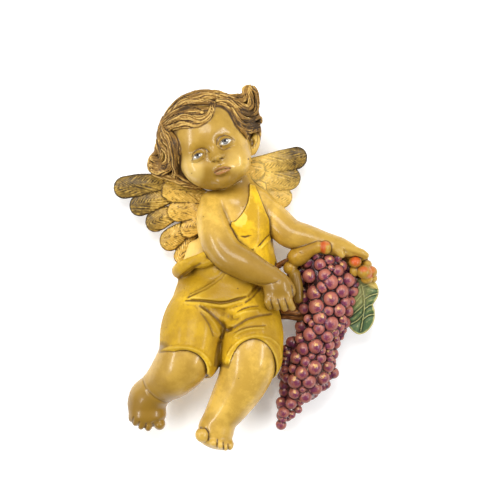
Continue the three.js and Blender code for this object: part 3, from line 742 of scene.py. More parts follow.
grape = Clay((26, -2, -214), (136, 72, -18))
BUNCH = [
    # x, z, half width, depth of its front
    (93, -28, 17, 49), (92, -38, 25, 53), (93, -48, 29, 55), (95.5, -60, 31, 56), (93.5, -76, 30, 56),
    (92.5, -92, 27, 55), (89, -106, 25, 53), (82, -118, 26.5, 52), (77, -132, 28, 52), (75, -146, 29, 52),
    (72, -159, 25, 49), (66, -171, 18.5, 44), (57, -180, 13, 39), (53, -191, 8, 35), (48.5, -200, 5, 32),
]
BERRIES = [
    # x, z, radius
    (83, -31, 4.5), (75.5, -37, 6), (87, -39.5, 5.5), (96, -35, 5), (104, -33, 4.6), (112.5, -35.5, 3.6),
    (109, -41, 5), (104.5, -45.5, 5.3), (97.5, -43, 3.2), (117, -44, 4.2), (67, -47, 4.2),
    (76.5, -51, 6.4),
    (91.5, -50, 6), (97, -57, 7), (106, -55.5, 3.3), (115, -55, 6.4), (122, -59, 5), (68.5, -60, 4.8),
    (89, -62, 5.5), (81, -68, 6.8), (108, -66, 6.3), (71, -73, 5), (97.5, -73.5, 6.8), (111.5, -77, 5.5),
    (83.5, -81.5, 7.4), (71.5, -84, 5.2), (95, -85.5, 4.8), (105.5, -85, 6.2), (115.5, -86, 5),
    (87, -92.5, 6.6),
    (75, -94, 4.2), (97.5, -98, 7), (109, -94.5, 4.5), (69, -102, 6.3), (86, -103, 5.6),
    (106.5, -101.5, 5),
    (77, -109.5, 6.4), (101, -107, 4.8), (111, -106, 3.6), (94, -111, 6), (103, -114, 3.8),
    (109, -113, 3),
    (67.5, -114, 5), (79, -98, 3.6), (59, -118.5, 5.5), (82.5, -121, 6.8), (70, -124, 6), (96, -120, 5.2),
    (96, -127, 4.2), (53.5, -125, 4), (63.5, -133, 5.6), (78.5, -131, 3), (88, -133, 4.8),
    (53, -136.5, 5.4),
    (72.5, -136.5, 5), (81, -142, 6.8), (95, -142, 5.8), (97, -134, 3.5), (100.5, -137, 3.2),
    (60, -144, 4.2),
    (52, -146, 4), (69, -147.5, 6.4), (101.5, -149.5, 5.2), (90, -153, 6.3), (48, -153, 3.2),
    (54, -154, 4.5),
    (62, -156, 6.8), (76, -156, 6.3), (83, -164, 6.2), (94, -161, 4.4), (51.5, -168, 5),
    (61.5, -168.5, 5.2),
    (72.5, -172, 6.2), (82, -170.5, 4), (48.5, -179, 5), (58.5, -179.5, 5.2), (67.5, -177.5, 4),
    (66, -186.5, 3.7),
    (51, -189, 5.4), (59, -191.5, 4), (50, -196, 4), (48.5, -201.5, 5), (88, -125, 4.4),
    (69.5, -164.5, 3),
]


def bunch_at(z):
    """Middle, half width and front depth of the bunch at a height."""
    heights = [-row[1] for row in BUNCH]
    return [np.interp(-z, heights, [row[column] for row in BUNCH]) for column in (0, 2, 3)]


cores = [(x, front - max(half - 8, 2.5) - 1, z, max(half - 8, 2.5)) for x, z, half, front in BUNCH]
limb(grape, cores)
berries = []
for x, z, radius in BERRIES:
    middle, half, front = bunch_at(z)
    out = max(half - radius, 1)
    share = min(abs(x - middle) / out, 1)
    berries.append((x, front - 0.9 * out * (1 - math.sqrt(1 - share**2)), z, radius))
for row in range(15):
    z = -44 - 10.6 * row
    middle, half, front = bunch_at(z)
    for way in (-1, 1):
        for level, inset in ((0.6, 5.2), (0.25, 6.4)) if half > 20 else ((0.6, 5.2),):
            depth = front * level + 2 * (row % 2)
            berries.append(
                (middle + way * max(half - inset, 1), depth, z - 2 * level, 4.6 + row % 3 * 0.5),
            )
for x, depth, z, radius in berries:
    ball(grape, (x, depth, z), (radius * 1.1, radius * 1.05, radius * 1.12), soft=0.2)

# Fruit behind the grapes
# A pear, a peach and some small round fruits, cast in one with the hand that lies on them.
# They fill the space behind the grapes and run down beside the fist.

fruit = Clay((34, -2, -86), (152, 70, -10))
FRUITS = [
    # centre, radii, roll
    ((92.2, 58, -22.6), (5.8, 6, 6.6), 10), ((57.5, 43, -42.5), (7.5, 7, 6.6), 30),
    ((122, 50, -37), (6.4, 7, 5.8), 0),
    ((131.4, 48, -47), (7.8, 8, 7), -20), ((134, 43, -39.6), (5.4, 7, 5), 0),
    ((139.6, 41, -47), (5.4, 7, 5.8), 0),
    ((141, 37, -53.4), (4.4, 6, 4.4), 0), ((134, 44, -54), (6, 6, 5), 0),
    ((122, 45, -46), (5.4, 6, 5.6), 0),
]
limb(fruit, [(64, 22, -34, 10), (100, 24, -33, 14), (126, 24, -42, 13)])
limb(
    fruit, [(64.4, 46, -31.8, 9.6), (69, 49, -29.4, 8.6), (77, 53, -24.6, 6.6), (85, 56, -21.8, 6)],
    soft=0.8,
)
limb(fruit, [(62, 45, -50, 6), (64.5, 47, -62, 5.5), (65.5, 46, -74, 4.6)], soft=1.2)
for centre, radii, roll in FRUITS:
    ball(fruit, centre, radii, roll, soft=1.0)
stroke(fruit, [(65.4, -26.8, 0.8), (67, -27.8, 1.2), (69.4, -28, 0.7)], lift=0.4, soft=1.0, cut=True)

# Leaf
# One lobed vine leaf, a thin blade of resin that hangs from the fruit at the right of the grapes.
# It is hollowed on both sides of a midrib, with raised veins and a raised rim.

leaf = Clay((96, 8, -118), (156, 50, -46))
LEAF_OUTLINE = [
    (118, -60), (124, -55), (133, -54), (141, -55.5), (145.4, -60), (147.4, -67), (146, -73),
    (142.6, -78.5),
    (141.6, -81), (143.4, -87), (143, -95.5), (139.6, -103), (134, -108.6), (127.5, -110.6), (122, -108),
    (117, -102.5), (113.6, -97), (112, -88), (111, -76), (114, -66),
]
VEINS = [
    [(130, -60), (132, -72), (132.4, -85), (130.8, -97), (129, -107)],
    [(129.5, -60), (123.5, -66.5), (118, -74)], [(131, -69), (125, -76), (119, -82.5)],
    [(132, -80), (127, -85), (120, -91)],
    [(131.5, -90), (126, -96), (119, -100)], [(131, -62), (138, -60), (145, -64)],
    [(132, -75), (139, -71), (146, -69)],
    [(132.5, -85), (138, -81), (142, -80)], [(131.6, -95), (137, -91), (143, -90)],
]


def leaf_lines(x, z):
    """Distance from the leaf's outline, and from its nearest vein."""
    edge = inside_outline(x, z, eased(LEAF_OUTLINE + LEAF_OUTLINE[:1], 3)[:-1])
    vein = np.full(edge.shape, 1e9, dtype=np.float32)
    for path in VEINS:
        line = eased(path, 4)
        for a, b in zip(line[:-1], line[1:]):
            run = b - a
            share = np.clip(((x - a[0]) * run[0] + (z - a[1]) * run[1]) / (run @ run), 0, 1)
            off = np.sqrt((x - a[0] - share * run[0]) ** 2 + (z - a[1] - share * run[1]) ** 2)
            vein = np.minimum(vein, off)
    return edge, vein


place, (x, depth, z) = leaf.window((96, 8, -118), (156, 50, -46))
edge, vein = leaf_lines(x, z)
rim = np.exp(-(((edge + 1.0) / 1.2) ** 2))
blade = 33 - 0.0045 * (x - 126) ** 2 - 0.1 * np.maximum(-72 - z, 0)
blade = blade + 1.8 * np.exp(-((vein / 0.8) ** 2)) + 0.7 * rim + 2.4 * np.clip(vein / 4.5, 0, 1)
leaf.add(place, -join(-np.maximum((depth - blade) * 0.8, blade - 7 - depth), -edge, 1.0))

# Stem
# The brown cane that the fist holds, which carries the grapes and shows again above the wrist.
# It is cast in one with them, with a rough bark scored along it.

stem = Clay((28, 4, -110), (112, 60, -24))
limb(stem, [(40, 34, -91, 5), (54, 38, -90, 5.2), (66, 38, -92, 5), (84, 34, -95, 5)])
limb(stem, [(44, 40, -86, 3.2), (58, 45, -87, 3.4), (72, 40, -89, 3)], soft=1)
limb(stem, [(38, 32, -46, 3.4), (47, 38, -40, 3.4), (56, 40, -35, 3)], soft=1)
limb(stem, [(60, 28, -50, 6), (64, 32, -66, 6), (66, 32, -84, 6)], soft=1)
place, (x, depth, z) = stem.window((28, 4, -110), (112, 60, -24))
stem.d[place] += 0.5 * np.abs(np.sin(depth * 1.3 + z * 1.5 + 0.4 * np.sin(x * 0.3)))

# The whole casting
# All regions joined as one solid lump of resin, sanded flat where it lies on the wall.
# A square socket in the back, behind the shoulders, hangs over the head of a screw.

regions = {
    "skin": skin, "hair": hair, "cloth": cloth, "wing": wing,
    "grape": grape, "fruit": fruit, "leaf": leaf, "stem": stem,
}
SOFT_MEETING = 0.5
whole = Clay((-130, -4, -234), (156, 106, 150))
for clay in regions.values():
    whole.take(clay, SOFT_MEETING)
axis = np.arange(whole.start[1], whole.end[1], dtype=np.float32)[None, :, None] * STEP
place, (x, depth, z) = whole.window((-20, -4, 0), (20, 26, 32))
socket = np.maximum(np.maximum(np.abs(x) - 8, depth - 18), np.abs(z - 16) - 5.5)
whole.cut(place, socket)
np.maximum(whole.d, -axis, out=whole.d)


def skinned(clay):
    """Surface of the clay as vertices in mm and four-sided faces, one vertex to each crossed cell."""
    d = clay.d
    inside = d < 0
    corners = [(i, j, k) for i in (0, 1) for j in (0, 1) for k in (0, 1)]
    size = np.array(d.shape) - 1

    def shifted(array, offset):
        return array[tuple(slice(o, o + s) for o, s in zip(offset, size))]

    count = sum(shifted(inside, c).astype(np.uint8) for c in corners)
    cells = np.argwhere((count > 0) & (count < 8))
    values = {c: d[tuple((cells + c).T)] for c in corners}
    total = np.zeros((len(cells), 3))
    hits = np.zeros(len(cells))
    for c in corners:
        for way in range(3):
            if c[way]:
                continue
            other = tuple(v + (n == way) for n, v in enumerate(c))
            a, b = values[c], values[other]
            crossed = (a < 0) != (b < 0)
            share = np.where(crossed, a / np.where(crossed, a - b, 1), 0)
            point = np.array(c, dtype=float)[None, :] + share[:, None] * (np.arange(3) == way)
            total += point * crossed[:, None]
            hits += crossed
    vertices = (cells + total / hits[:, None] + clay.start) * STEP
    index = np.full(tuple(size), -1, dtype=np.int32)
    index[tuple(cells.T)] = np.arange(len(cells))
    faces = []
    for way in range(3):
        u, v = (way + 1) % 3, (way + 2) % 3
        first = [slice(1, n - 1) for n in d.shape]
        first[way] = slice(0, d.shape[way] - 1)
        second = list(first)
        second[way] = slice(1, d.shape[way])
        a, b = inside[tuple(first)], inside[tuple(second)]
        edges = np.argwhere(a != b)
        leaving = a[tuple(edges.T)]
        edges = edges + np.array([0 if n == way else 1 for n in range(3)])
        quad = []
        for du, dv in ((0, 0), (1, 0), (1, 1), (0, 1)):
            cell = edges.copy()
            cell[:, u] -= du
            cell[:, v] -= dv
            quad.append(index[tuple(cell.T)])
        quad = np.stack(quad, axis=1)
        quad[~leaving] = quad[~leaving][:, ::-1]
        faces.append(quad)
    return vertices, np.vstack(faces)


def largest_shell(vertices, faces):
    """The surface without the loose crumbs that are left where forms just miss each other."""
    label = np.arange(len(vertices))
    while True:
        spread = label.copy()
        np.minimum.at(spread, faces.ravel(), np.repeat(label[faces].min(axis=1), faces.shape[1]))
        spread = spread[spread]
        if (spread == label).all():
            break
        label = spread
    shell = label == np.bincount(label[faces[:, 0]]).argmax()
    renumbered = np.cumsum(shell) - 1
    return vertices[shell], renumbered[faces[shell[faces[:, 0]]]]


def mesh_from(name, vertices, faces):
    mesh = bpy.data.meshes.new(name)
    mesh.vertices.add(len(vertices))
    mesh.vertices.foreach_set("co", vertices.astype(np.float32).ravel())
    mesh.loops.add(faces.size)
    mesh.loops.foreach_set("vertex_index", faces.astype(np.int32).ravel())
    mesh.polygons.add(len(faces))
    mesh.polygons.foreach_set("loop_start", np.arange(len(faces), dtype=np.int32) * faces.shape[1])
    mesh.polygons.foreach_set("loop_total", np.full(len(faces), faces.shape[1], dtype=np.int32))
    mesh.update(calc_edges=True)
    mesh.validate()
    return mesh


# One mm of the figure in the frame's own unit
low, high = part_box("cherub_plaque")
GRID = (high[2] - low[2]) / 366.0
vertices, faces = largest_shell(*skinned(whole))
placed = vertices * np.array([1, -1, 1]) * GRID
rough_mesh = mesh_from("cherub_plaque_rough", placed, faces)
plaque = bpy.data.objects.new("cherub_plaque_painted", rough_mesh)
bpy.context.scene.collection.objects.link(plaque)
MOST_TRIANGLES = 192000
thin = plaque.modifiers.new("thin_out", "DECIMATE")
thin.ratio = min(1.0, MOST_TRIANGLES / (2 * len(faces)))
ready = plaque.evaluated_get(bpy.context.evaluated_depsgraph_get())
mesh = bpy.data.meshes.new_from_object(ready)
plaque.modifiers.clear()
plaque.data = mesh
mesh.name = "cherub_plaque_painted"
bpy.data.meshes.remove(rough_mesh)
mesh.shade_smooth()

# What the paint follows
# The painter works to the relief: each region has its own colour, the dark wash lies in the hollows, and
# painted shade in the broad hollows.
# So the surface keeps which region is nearest, how deep a crease is, and places on berries and strands.

spots = np.empty(len(mesh.vertices) * 3, dtype=np.float32)
mesh.vertices.foreach_get("co", spots)
spots = spots.reshape(-1, 3) / GRID * np.array([1, -1, 1])


def sampled(array, start, points):
    """Values of a lattice at points in mm, eased between its places. Outside it they are FAR."""
    at = points / STEP - start
    base = np.floor(at).astype(int)
    held = np.all((base >= 0) & (base < np.array(array.shape) - 1), axis=1)
    base = np.where(held[:, None], base, 0)
    part = at - base
    value = np.zeros(len(points))
    for corner in range(8):
        offset = np.array([corner >> 2 & 1, corner >> 1 & 1, corner & 1])
        weight = np.prod(np.where(offset, part, 1 - part), axis=1)
        value += weight * array[tuple((base + offset).T)]
    return np.where(held, value, FAR)


def keep(name, values, kind="FLOAT"):
    attribute = mesh.attributes.new(name, kind, "POINT")
    key = "vector" if kind == "FLOAT_VECTOR" else "value"
    attribute.data.foreach_set(key, np.ascontiguousarray(values, dtype=np.float32).ravel())


near = {name: sampled(clay.d, clay.start, spots) for name, clay in regions.items()}
for name in regions:
    rest = np.min([near[other] for other in regions if other != name], axis=0)
    keep("is_" + name, np.clip(near[name] - rest, -3, 3))


def blurred(array, reach):
    """The lattice averaged over a box of `reach` places each way."""
    for way in range(3):
        margins = [(reach + 1, reach) if n == way else (0, 0) for n in range(3)]
        total = np.cumsum(np.pad(array, margins, mode="edge"), axis=way, dtype=np.float64)
        length = array.shape[way]
        upper = np.take(total, range(2 * reach + 1, 2 * reach + 1 + length), axis=way)
        lower = np.take(total, range(0, length), axis=way)
        array = ((upper - lower) / (2 * reach + 1)).astype(np.float32)
    return array


limited = np.clip(whole.d, -6, 6)
fine = blurred(limited, max(1, round(1.2 / STEP)))
keep("crease_fine", -sampled(fine, whole.start, spots))
wide = blurred(np.clip(whole.d, -14, 14), max(2, round(4.5 / STEP)))
keep("crease_wide", -sampled(wide, whole.start, spots))

berry_at = np.zeros((len(spots), 3))
is_berry = near["grape"] < 3
chosen = spots[is_berry]
best = np.full(len(chosen), 1e9)
second = np.full(len(chosen), 1e9)
local = np.zeros((len(chosen), 3))
for number, (x, depth, z, radius) in enumerate(berries):
    from_middle = (chosen - (x, depth, z)) / radius
    off = (np.linalg.norm(from_middle, axis=1) - 1) * radius
    nearer = off < best
    second = np.minimum(second, np.maximum(off, best))
    best[nearer] = off[nearer]
    chance = np.full(nearer.sum(), number * 0.618 % 1)
    local[nearer] = np.stack([from_middle[nearer, 0], from_middle[nearer, 2], chance], 1)
berry_at[is_berry] = local
keep("berry_at", berry_at, "FLOAT_VECTOR")
seam = np.full(len(spots), 5.0)
seam[is_berry] = np.clip(second - best, 0, 5)
keep("berry_seam", seam)

strand_at = np.zeros((len(spots), 3))
in_hair = near["hair"] < 2
best = np.full(in_hair.sum(), 1e9)
local = np.zeros((in_hair.sum(), 3))
x, depth, z = spots[in_hair].T
for seed, line in enumerate(lock_lines):
    distance, side, run = along(x, depth, z, line)
    width = line[:, 3].mean()
    nearer = distance < best
    best[nearer] = distance[nearer]
    local[nearer] = np.stack([side * width, run, combed(side, run, width, seed)], 1)[nearer]
strand_at[in_hair] = local
in_wing = near["wing"] < 2
best = np.full(in_wing.sum(), 1e9)
local = np.zeros((in_wing.sum(), 3))
x, depth, z = spots[in_wing].T
for number, (root, tip, width, front) in enumerate(FEATHERS):
    outline, side, run, half, length = feather(x, z, root, tip, width)
    off = np.abs(depth - feather_top(side, run, half, length, front, number)) + np.maximum(outline, 0) * 4
    nearer = off < best
    best[nearer] = off[nearer]
    sweep = barb_sweep(side, run, number)
    local[nearer] = np.stack([sweep, run - np.abs(side), outline], 1)[nearer]
strand_at[in_wing & ~in_hair] = local[~in_hair[in_wing]]
in_leaf = near["leaf"] < 1.5
strand_at[in_leaf, :2] = np.stack(leaf_lines(spots[in_leaf, 0], spots[in_leaf, 2]), 1)
keep("strand_at", strand_at, "FLOAT_VECTOR")
keep("figure_at", spots, "FLOAT_VECTOR")


# Paint
# Each region has a flat colour, brushed unevenly, with a light rub on the high places.
# A dark antique wash is left in the hollows, the broad hollows get painted shade, and a clear varnish lies
# over all, glossy on the skin.

paint = bpy.data.materials.new("painted_resin")
paint.use_nodes = True
tree = paint.node_tree
tree.nodes.clear()


def node(kind, tree, **settings):
    made = tree.nodes.new(kind)
    for key, value in settings.items():
        setattr(made, key, value)
    return made


def put(target, value):
    """Sets a socket to a number or colour, or links it to another socket."""
    if isinstance(value, bpy.types.NodeSocket):
        target.id_data.links.new(value, target)
    else:
        target.default_value = value


def maths(tree, operation, a, b=0.0, c=0.0):
    made = node("ShaderNodeMath", tree, operation=operation)
    for socket, value in zip(made.inputs, (a, b, c)):
        put(socket, value)
    return made.outputs[0]


def vectors(tree, operation, a, b=(0.0, 0.0, 0.0), result="Vector"):
    made = node("ShaderNodeVectorMath", tree, operation=operation)
    put(made.inputs[0], a)
    put(made.inputs[3 if operation == "SCALE" else 1], b)
    return made.outputs[result]


def ramp(tree, value, start, end, low_value=0.0, high_value=1.0):
    made = node("ShaderNodeMapRange", tree, interpolation_type="SMOOTHSTEP")
    for socket, number in zip(made.inputs[:5], (value, start, end, low_value, high_value)):
        put(socket, number)
    return made.outputs[0]


def mixed(tree, share, a, b):
    made = node("ShaderNodeMix", tree, data_type="RGBA")
    for number, value in ((0, share), (6, a), (7, b)):
        put(made.inputs[number], value)
    return made.outputs[2]


def noise(tree, where, scale, detail=3.0, roughness=0.5):
    made = node("ShaderNodeTexNoise", tree)
    for title, value in (("Vector", where), ("Scale", scale), ("Detail", detail), ("Roughness", roughness)):
        put(made.inputs[title], value)
    return made.outputs["Fac"]


def attribute(name, result="Fac"):
    return node("ShaderNodeAttribute", tree, attribute_name=name).outputs[result]


def rgb(red, green, blue):
    """A colour given as display values from 0 to 255."""
    shares = (((v / 255 + 0.055) / 1.055) ** 2.4 if v > 10 else v / 3295 for v in (red, green, blue))
    return (*shares, 1.0)


def group(name, inputs, outputs):
    made = bpy.data.node_groups.new(name, "ShaderNodeTree")
    for title, kind, default in inputs:
        socket = made.interface.new_socket(title, in_out="INPUT", socket_type=kind)
        if default is not None:
            socket.default_value = default
    for title, kind in outputs:
        made.interface.new_socket(title, in_out="OUTPUT", socket_type=kind)
    return made, made.nodes.new("NodeGroupInput").outputs, made.nodes.new("NodeGroupOutput").inputs


def use(tree, made, **values):
    item = tree.nodes.new("ShaderNodeGroup")
    item.node_tree = made
    for title, value in values.items():
        put(item.inputs[title.replace("_", " ")], value)
    return item.outputs


COLOUR, VALUE, VECTOR = "NodeSocketColor", "NodeSocketFloat", "NodeSocketVector"

# One brushed colour: a base in soft patches, a light rub on the high places, a wash in the hollows, and
# painted shade in the broad hollows
brushed, given, result = group(
    "brushed_colour",
    [
        ("Place", VECTOR, None), ("Base", COLOUR, None), ("Patch", COLOUR, None), ("Light", COLOUR, None),
        ("Wash", COLOUR, None), ("Patch amount", VALUE, 0.5), ("Light amount", VALUE, 0.3),
        ("Wash amount", VALUE, 0.8), ("Relief", VALUE, 0.0), ("Wide crease", VALUE, 0.0),
        ("Wash start", VALUE, 0.05), ("Wash end", VALUE, 0.3), ("Shade amount", VALUE, 0.3),
    ],
    [("Color", COLOUR)],
)
patches = ramp(brushed, noise(brushed, given["Place"], 44.0, 6.0, 0.68), 0.38, 0.62)
tint = mixed(
    brushed, maths(brushed, "MULTIPLY", patches, given["Patch amount"]), given["Base"], given["Patch"],
)
grain = noise(brushed, given["Place"], 420.0, 4.0)
height = maths(brushed, "ADD", given["Relief"], maths(brushed, "MULTIPLY_ADD", grain, 0.16, -0.08))
rubbed = ramp(brushed, height, -0.03, -0.24)
tint = mixed(brushed, maths(brushed, "MULTIPLY", rubbed, given["Light amount"]), tint, given["Light"])
# Painted shade: broad hollows are darkened toward the wash colour
shade = ramp(brushed, given["Wide crease"], 0.0, 1.1)
tint = mixed(brushed, maths(brushed, "MULTIPLY", shade, given["Shade amount"]), tint, given["Wash"])
washed = ramp(brushed, height, given["Wash start"], given["Wash end"])
put(
    result["Color"],
    mixed(brushed, maths(brushed, "MULTIPLY", washed, given["Wash amount"]), tint, given["Wash"]),
)

# How far a place is from a painted line
line_gap, given, result = group(
    "line_gap", [("Place", VECTOR, None), ("Start", VECTOR, None), ("End", VECTOR, None)], [
        ("Gap", VALUE),
    ]
)
reach = vectors(line_gap, "SUBTRACT", given["Place"], given["Start"])
run = vectors(line_gap, "SUBTRACT", given["End"], given["Start"])
dots = [vectors(line_gap, "DOT_PRODUCT", one, run, "Value") for one in (reach, run)]
share = maths(line_gap, "MINIMUM", maths(line_gap, "MAXIMUM", maths(line_gap, "DIVIDE", *dots), 0.0), 1.0)
put(result["Gap"], vectors(line_gap, "DISTANCE", reach, vectors(line_gap, "SCALE", run, share), "Value"))

# An eye's opening between two arched lids
opening, given, result = group(
    "eye_opening",
    [
        ("Place", VECTOR, None), ("Middle", VECTOR, None), ("Along", VECTOR, None), ("Up", VECTOR, None),
        ("Above", VALUE, 3.0), ("Below", VALUE, 2.0),
    ],
    [("Mask", VALUE)],
)
reach = vectors(opening, "SUBTRACT", given["Place"], given["Middle"])
along_it = vectors(opening, "DOT_PRODUCT", reach, given["Along"], "Value")
up_it = vectors(opening, "DOT_PRODUCT", reach, given["Up"], "Value")
arch = maths(opening, "SUBTRACT", 1.0, maths(opening, "MULTIPLY", along_it, along_it))
over = maths(opening, "SUBTRACT", maths(opening, "MULTIPLY", arch, given["Above"]), up_it)
under = maths(opening, "ADD", maths(opening, "MULTIPLY", arch, given["Below"]), up_it)
put(result["Mask"], ramp(opening, maths(opening, "MINIMUM", over, under), -0.25, 0.35))

place = node("ShaderNodeTexCoord", tree).outputs["Object"]
relief = attribute("crease_fine")
wide_crease = attribute("crease_wide")
figure_parts = node("ShaderNodeSeparateXYZ", tree)
put(figure_parts.inputs[0], attribute("figure_at", "Vector"))
figure_x, figure_z = figure_parts.outputs[0], figure_parts.outputs[2]
flat = node("ShaderNodeCombineXYZ", tree)
facing = node("ShaderNodeSeparateXYZ", tree)
put(facing.inputs[0], node("ShaderNodeTexCoord", tree).outputs["Normal"])
# Brush work is only on the front: on what faces the wall its place is moved out of reach
turned_away = maths(tree, "GREATER_THAN", facing.outputs[1], 0.15)
put(flat.inputs[0], maths(tree, "MULTIPLY_ADD", turned_away, 999.0, figure_x))
put(flat.inputs[2], figure_z)
picture = flat.outputs[0]


def colour_of(base, patch, light, wash, relief=relief, **amounts):
    return use(
        tree, brushed, Place=place, Base=base, Patch=patch, Light=light, Wash=wash,
        Relief=relief, Wide_crease=wide_crease, **amounts,
    )["Color"]


def spot(x, z, radius_x, radius_z, turn=0.0, soft=0.12):
    """Mask of a painted oval on the figure's front, at x and z in mm, turned by `turn` degrees."""
    c, s = math.cos(math.radians(turn)), math.sin(math.radians(turn))
    reach = vectors(tree, "SUBTRACT", picture, (x, 0, z))
    u = vectors(tree, "DOT_PRODUCT", reach, (c / radius_x, 0, s / radius_x), "Value")
    v = vectors(tree, "DOT_PRODUCT", reach, (-s / radius_z, 0, c / radius_z), "Value")
    square = maths(tree, "MULTIPLY_ADD", u, u, maths(tree, "MULTIPLY", v, v))
    return ramp(tree, square, (1 + soft) ** 2, (1 - soft) ** 2)


def painted_line(points, width, soft=0.35):
    """Mask of a brush line through x, z points in mm."""
    gap = 99.0
    for start, end in zip(points[:-1], points[1:]):
        (sx, sz), (ex, ez) = start, end
        one = use(tree, line_gap, Place=picture, Start=(sx, 0, sz), End=(ex, 0, ez))["Gap"]
        gap = maths(tree, "MINIMUM", one, gap)
    return ramp(tree, gap, width / 2 + soft, width / 2 - soft)


def layer(colour, mask, amount, over):
    return mixed(tree, maths(tree, "MULTIPLY", mask, amount), colour, over)


# Paint on the skin, and the face
skin_colour = colour_of(
    rgb(212, 172, 74), rgb(168, 130, 44), rgb(234, 198, 108), rgb(80, 52, 12),
    Patch_amount=0.7, Light_amount=0.4, Wash_amount=0.85, Wash_start=0.05, Wash_end=0.24,
    Shade_amount=0.5,
)
for x, z, rx, rz, turn, strength in [
    # where the antique glaze was left thicker, and painted shade under the jaw and chin, on the neck and on
    # the lower legs and feet
    (-30, 84, 34, 32, 27, 0.6), (-26, 43, 42, 11, 0, 0.8), (-20, 60, 22, 9, 24, 0.35),
    (6, 32, 16, 14, 0, 0.45),
    (18, -44, 44, 22, -28, 0.85), (48, -70, 22, 22, 0, 0.75), (-92, -192, 34, 30, 20, 1),
    (-60, -140, 30, 20, -30, 0.5),
    (92, -22, 50, 16, -20, 0.55), (-14, 44, 14, 9, 0, 0.3), (-74, -164, 20, 12, -30, 0.5),
    (-2, -206, 30, 16, -20, 0.25),
]:
    skin_colour = layer(skin_colour, spot(x, z, rx, rz, turn, 0.55), strength, rgb(134, 100, 26))
# Painted highlights: lighter patches on the flank and on both cheeks
for x, z, rx, rz, strength in [(-46, -12, 12, 26, 0.6), (-41, 52, 10, 12, 0.4), (6, 62, 9, 10, 0.15)]:
    skin_colour = layer(skin_colour, spot(x, z, rx, rz, 0, 0.6), strength, rgb(246, 212, 124))
UPPER_LIP_LINE = [(x, z) for x, z, _ in UPPER_LIP]
LOWER_LIP_LINE = [(x, z) for x, z, _ in LOWER_LIP]
skin_colour = layer(skin_colour, painted_line(UPPER_LIP_LINE, 2.0, 0.8), 0.75, rgb(120, 68, 36))
skin_colour = layer(skin_colour, painted_line(LOWER_LIP_LINE, 2.3, 0.9), 0.65, rgb(150, 88, 54))
dark_lines = [
    # points, width, strength
    ([(x, z) for x, z, _ in MOUTH], 0.7, 0.85), ([(-6.9, 53.8), (-6.5, 54)], 1.0, 0.8),
    ([(-2.4, 54.6), (-2, 54.8)], 1.1, 0.7),
    ([(-16.4, 47.8), (-12, 46.7), (-8, 47.8)], 0.9, 0.4), ([(-19.4, 61.3), (-17.2, 60.4)], 1.2, 0.7),
    ([(-12.3, 63.3), (-9.2, 64.2)], 1.2, 0.7), ([(-20.8, 63), (-20, 65.4)], 0.6, 0.5),
    ([(37, -73), (37.5, -76), (39.6, -82)], 1.2, 0.85),
    ([(44, -73), (44.8, -76), (47.2, -83)], 1.2, 0.85),
    ([(51, -72.5), (52.3, -76), (54.6, -83)], 1.2, 0.85),
    ([(57.8, -60), (59, -68), (61.6, -80)], 1.3, 0.8),
    ([(-90, -153), (-86, -162), (-77, -171), (-67, -176.6)], 0.9, 0.4),
    ([(17, 86), (20, 91), (24.4, 90), (24.6, 84), (22, 78)], 1.0, 0.6),
    ([(19.4, 85), (18.6, 80), (20, 77)], 2.4, 0.5),
    ([(24, -57.8), (31, -58.8), (40, -57), (46, -54.4)], 0.9, 0.6),
    ([(-79.8, -197.5), (-79.3, -203)], 1.1, 0.8), ([(-86.3, -197.5), (-87.8, -204)], 1.1, 0.8),
    ([(-93, -195.5), (-95.2, -202)], 1.1, 0.8), ([(-99, -191), (-100.8, -198)], 1.1, 0.7),
    ([(-32, -200.6), (-27, -200.8), (-23.8, -205), (-24, -213)], 1.0, 0.75),
    ([(-15.2, -212), (-15.6, -220)], 1.1, 0.8),
    ([(-9.5, -214.5), (-9, -222)], 1.1, 0.8), ([(-4.8, -216.5), (-4.4, -223)], 1.1, 0.7),
]
for crease, strength in zip(CREASES, (0.95, 0.9, 0.35, 0.5)):
    dark_lines.append(([(x, z) for x, z, _ in crease], 0.8, strength))
for points, width, strength in dark_lines:
    skin_colour = layer(skin_colour, painted_line(points, width, 0.5), strength, rgb(70, 44, 16))
IRISES = [(-33.7, 66.9, 3.0), (-7.2, 80.9, 3.2)]
GLINTS = [[(-32.0, 67.4), (-36.4, 65.2)], [(-5.4, 81.6), (-9.8, 78.8)]]
for (x, z, tilt, half, above, below), (ix, iz, size), glints in zip(EYES, IRISES, GLINTS):
    c, s = math.cos(math.radians(tilt)), math.sin(math.radians(tilt))
    white = use(
        tree, opening, Place=picture, Middle=(x, 0, z), Along=(c / half, 0, s / half), Up=(-s, 0, c),
        Above=above, Below=below,
    )["Mask"]
    lid, under = [], []
    for share in (-1, -0.6, -0.2, 0.2, 0.6, 1):
        for line, height in ((lid, above + 0.3), (under, -below - 0.2)):
            u, v = share * half, height * (1 - share * share)
            line.append((x + u * c - v * s, z + u * s + v * c))
    eye = layer(rgb(214, 206, 186), spot(x - 3.4, z - 1.6, 3.0, 1.7, tilt, 0.6), 0.8, rgb(140, 124, 88))
    eye = layer(eye, spot(ix, iz, size, size, 0, 0.16), 1.0, rgb(52, 46, 38))
    eye = layer(eye, spot(ix + 0.2, iz - 0.4, size * 0.74, size * 0.72, 0, 0.4), 0.9, rgb(110, 106, 98))
    eye = layer(eye, spot(ix - 0.1, iz + 0.5, size * 0.42, size * 0.42, 0, 0.2), 1.0, rgb(30, 24, 22))
    for gx, gz in glints:
        eye = layer(eye, spot(gx, gz, 0.8, 0.7, 0, 0.3), 0.9, rgb(250, 250, 250))
    skin_colour = mixed(tree, white, skin_colour, eye)
    skin_colour = layer(skin_colour, painted_line(lid, 0.9, 0.4), 0.9, rgb(66, 42, 18))
    skin_colour = layer(skin_colour, painted_line(under, 0.6, 0.4), 0.6, rgb(96, 66, 28))
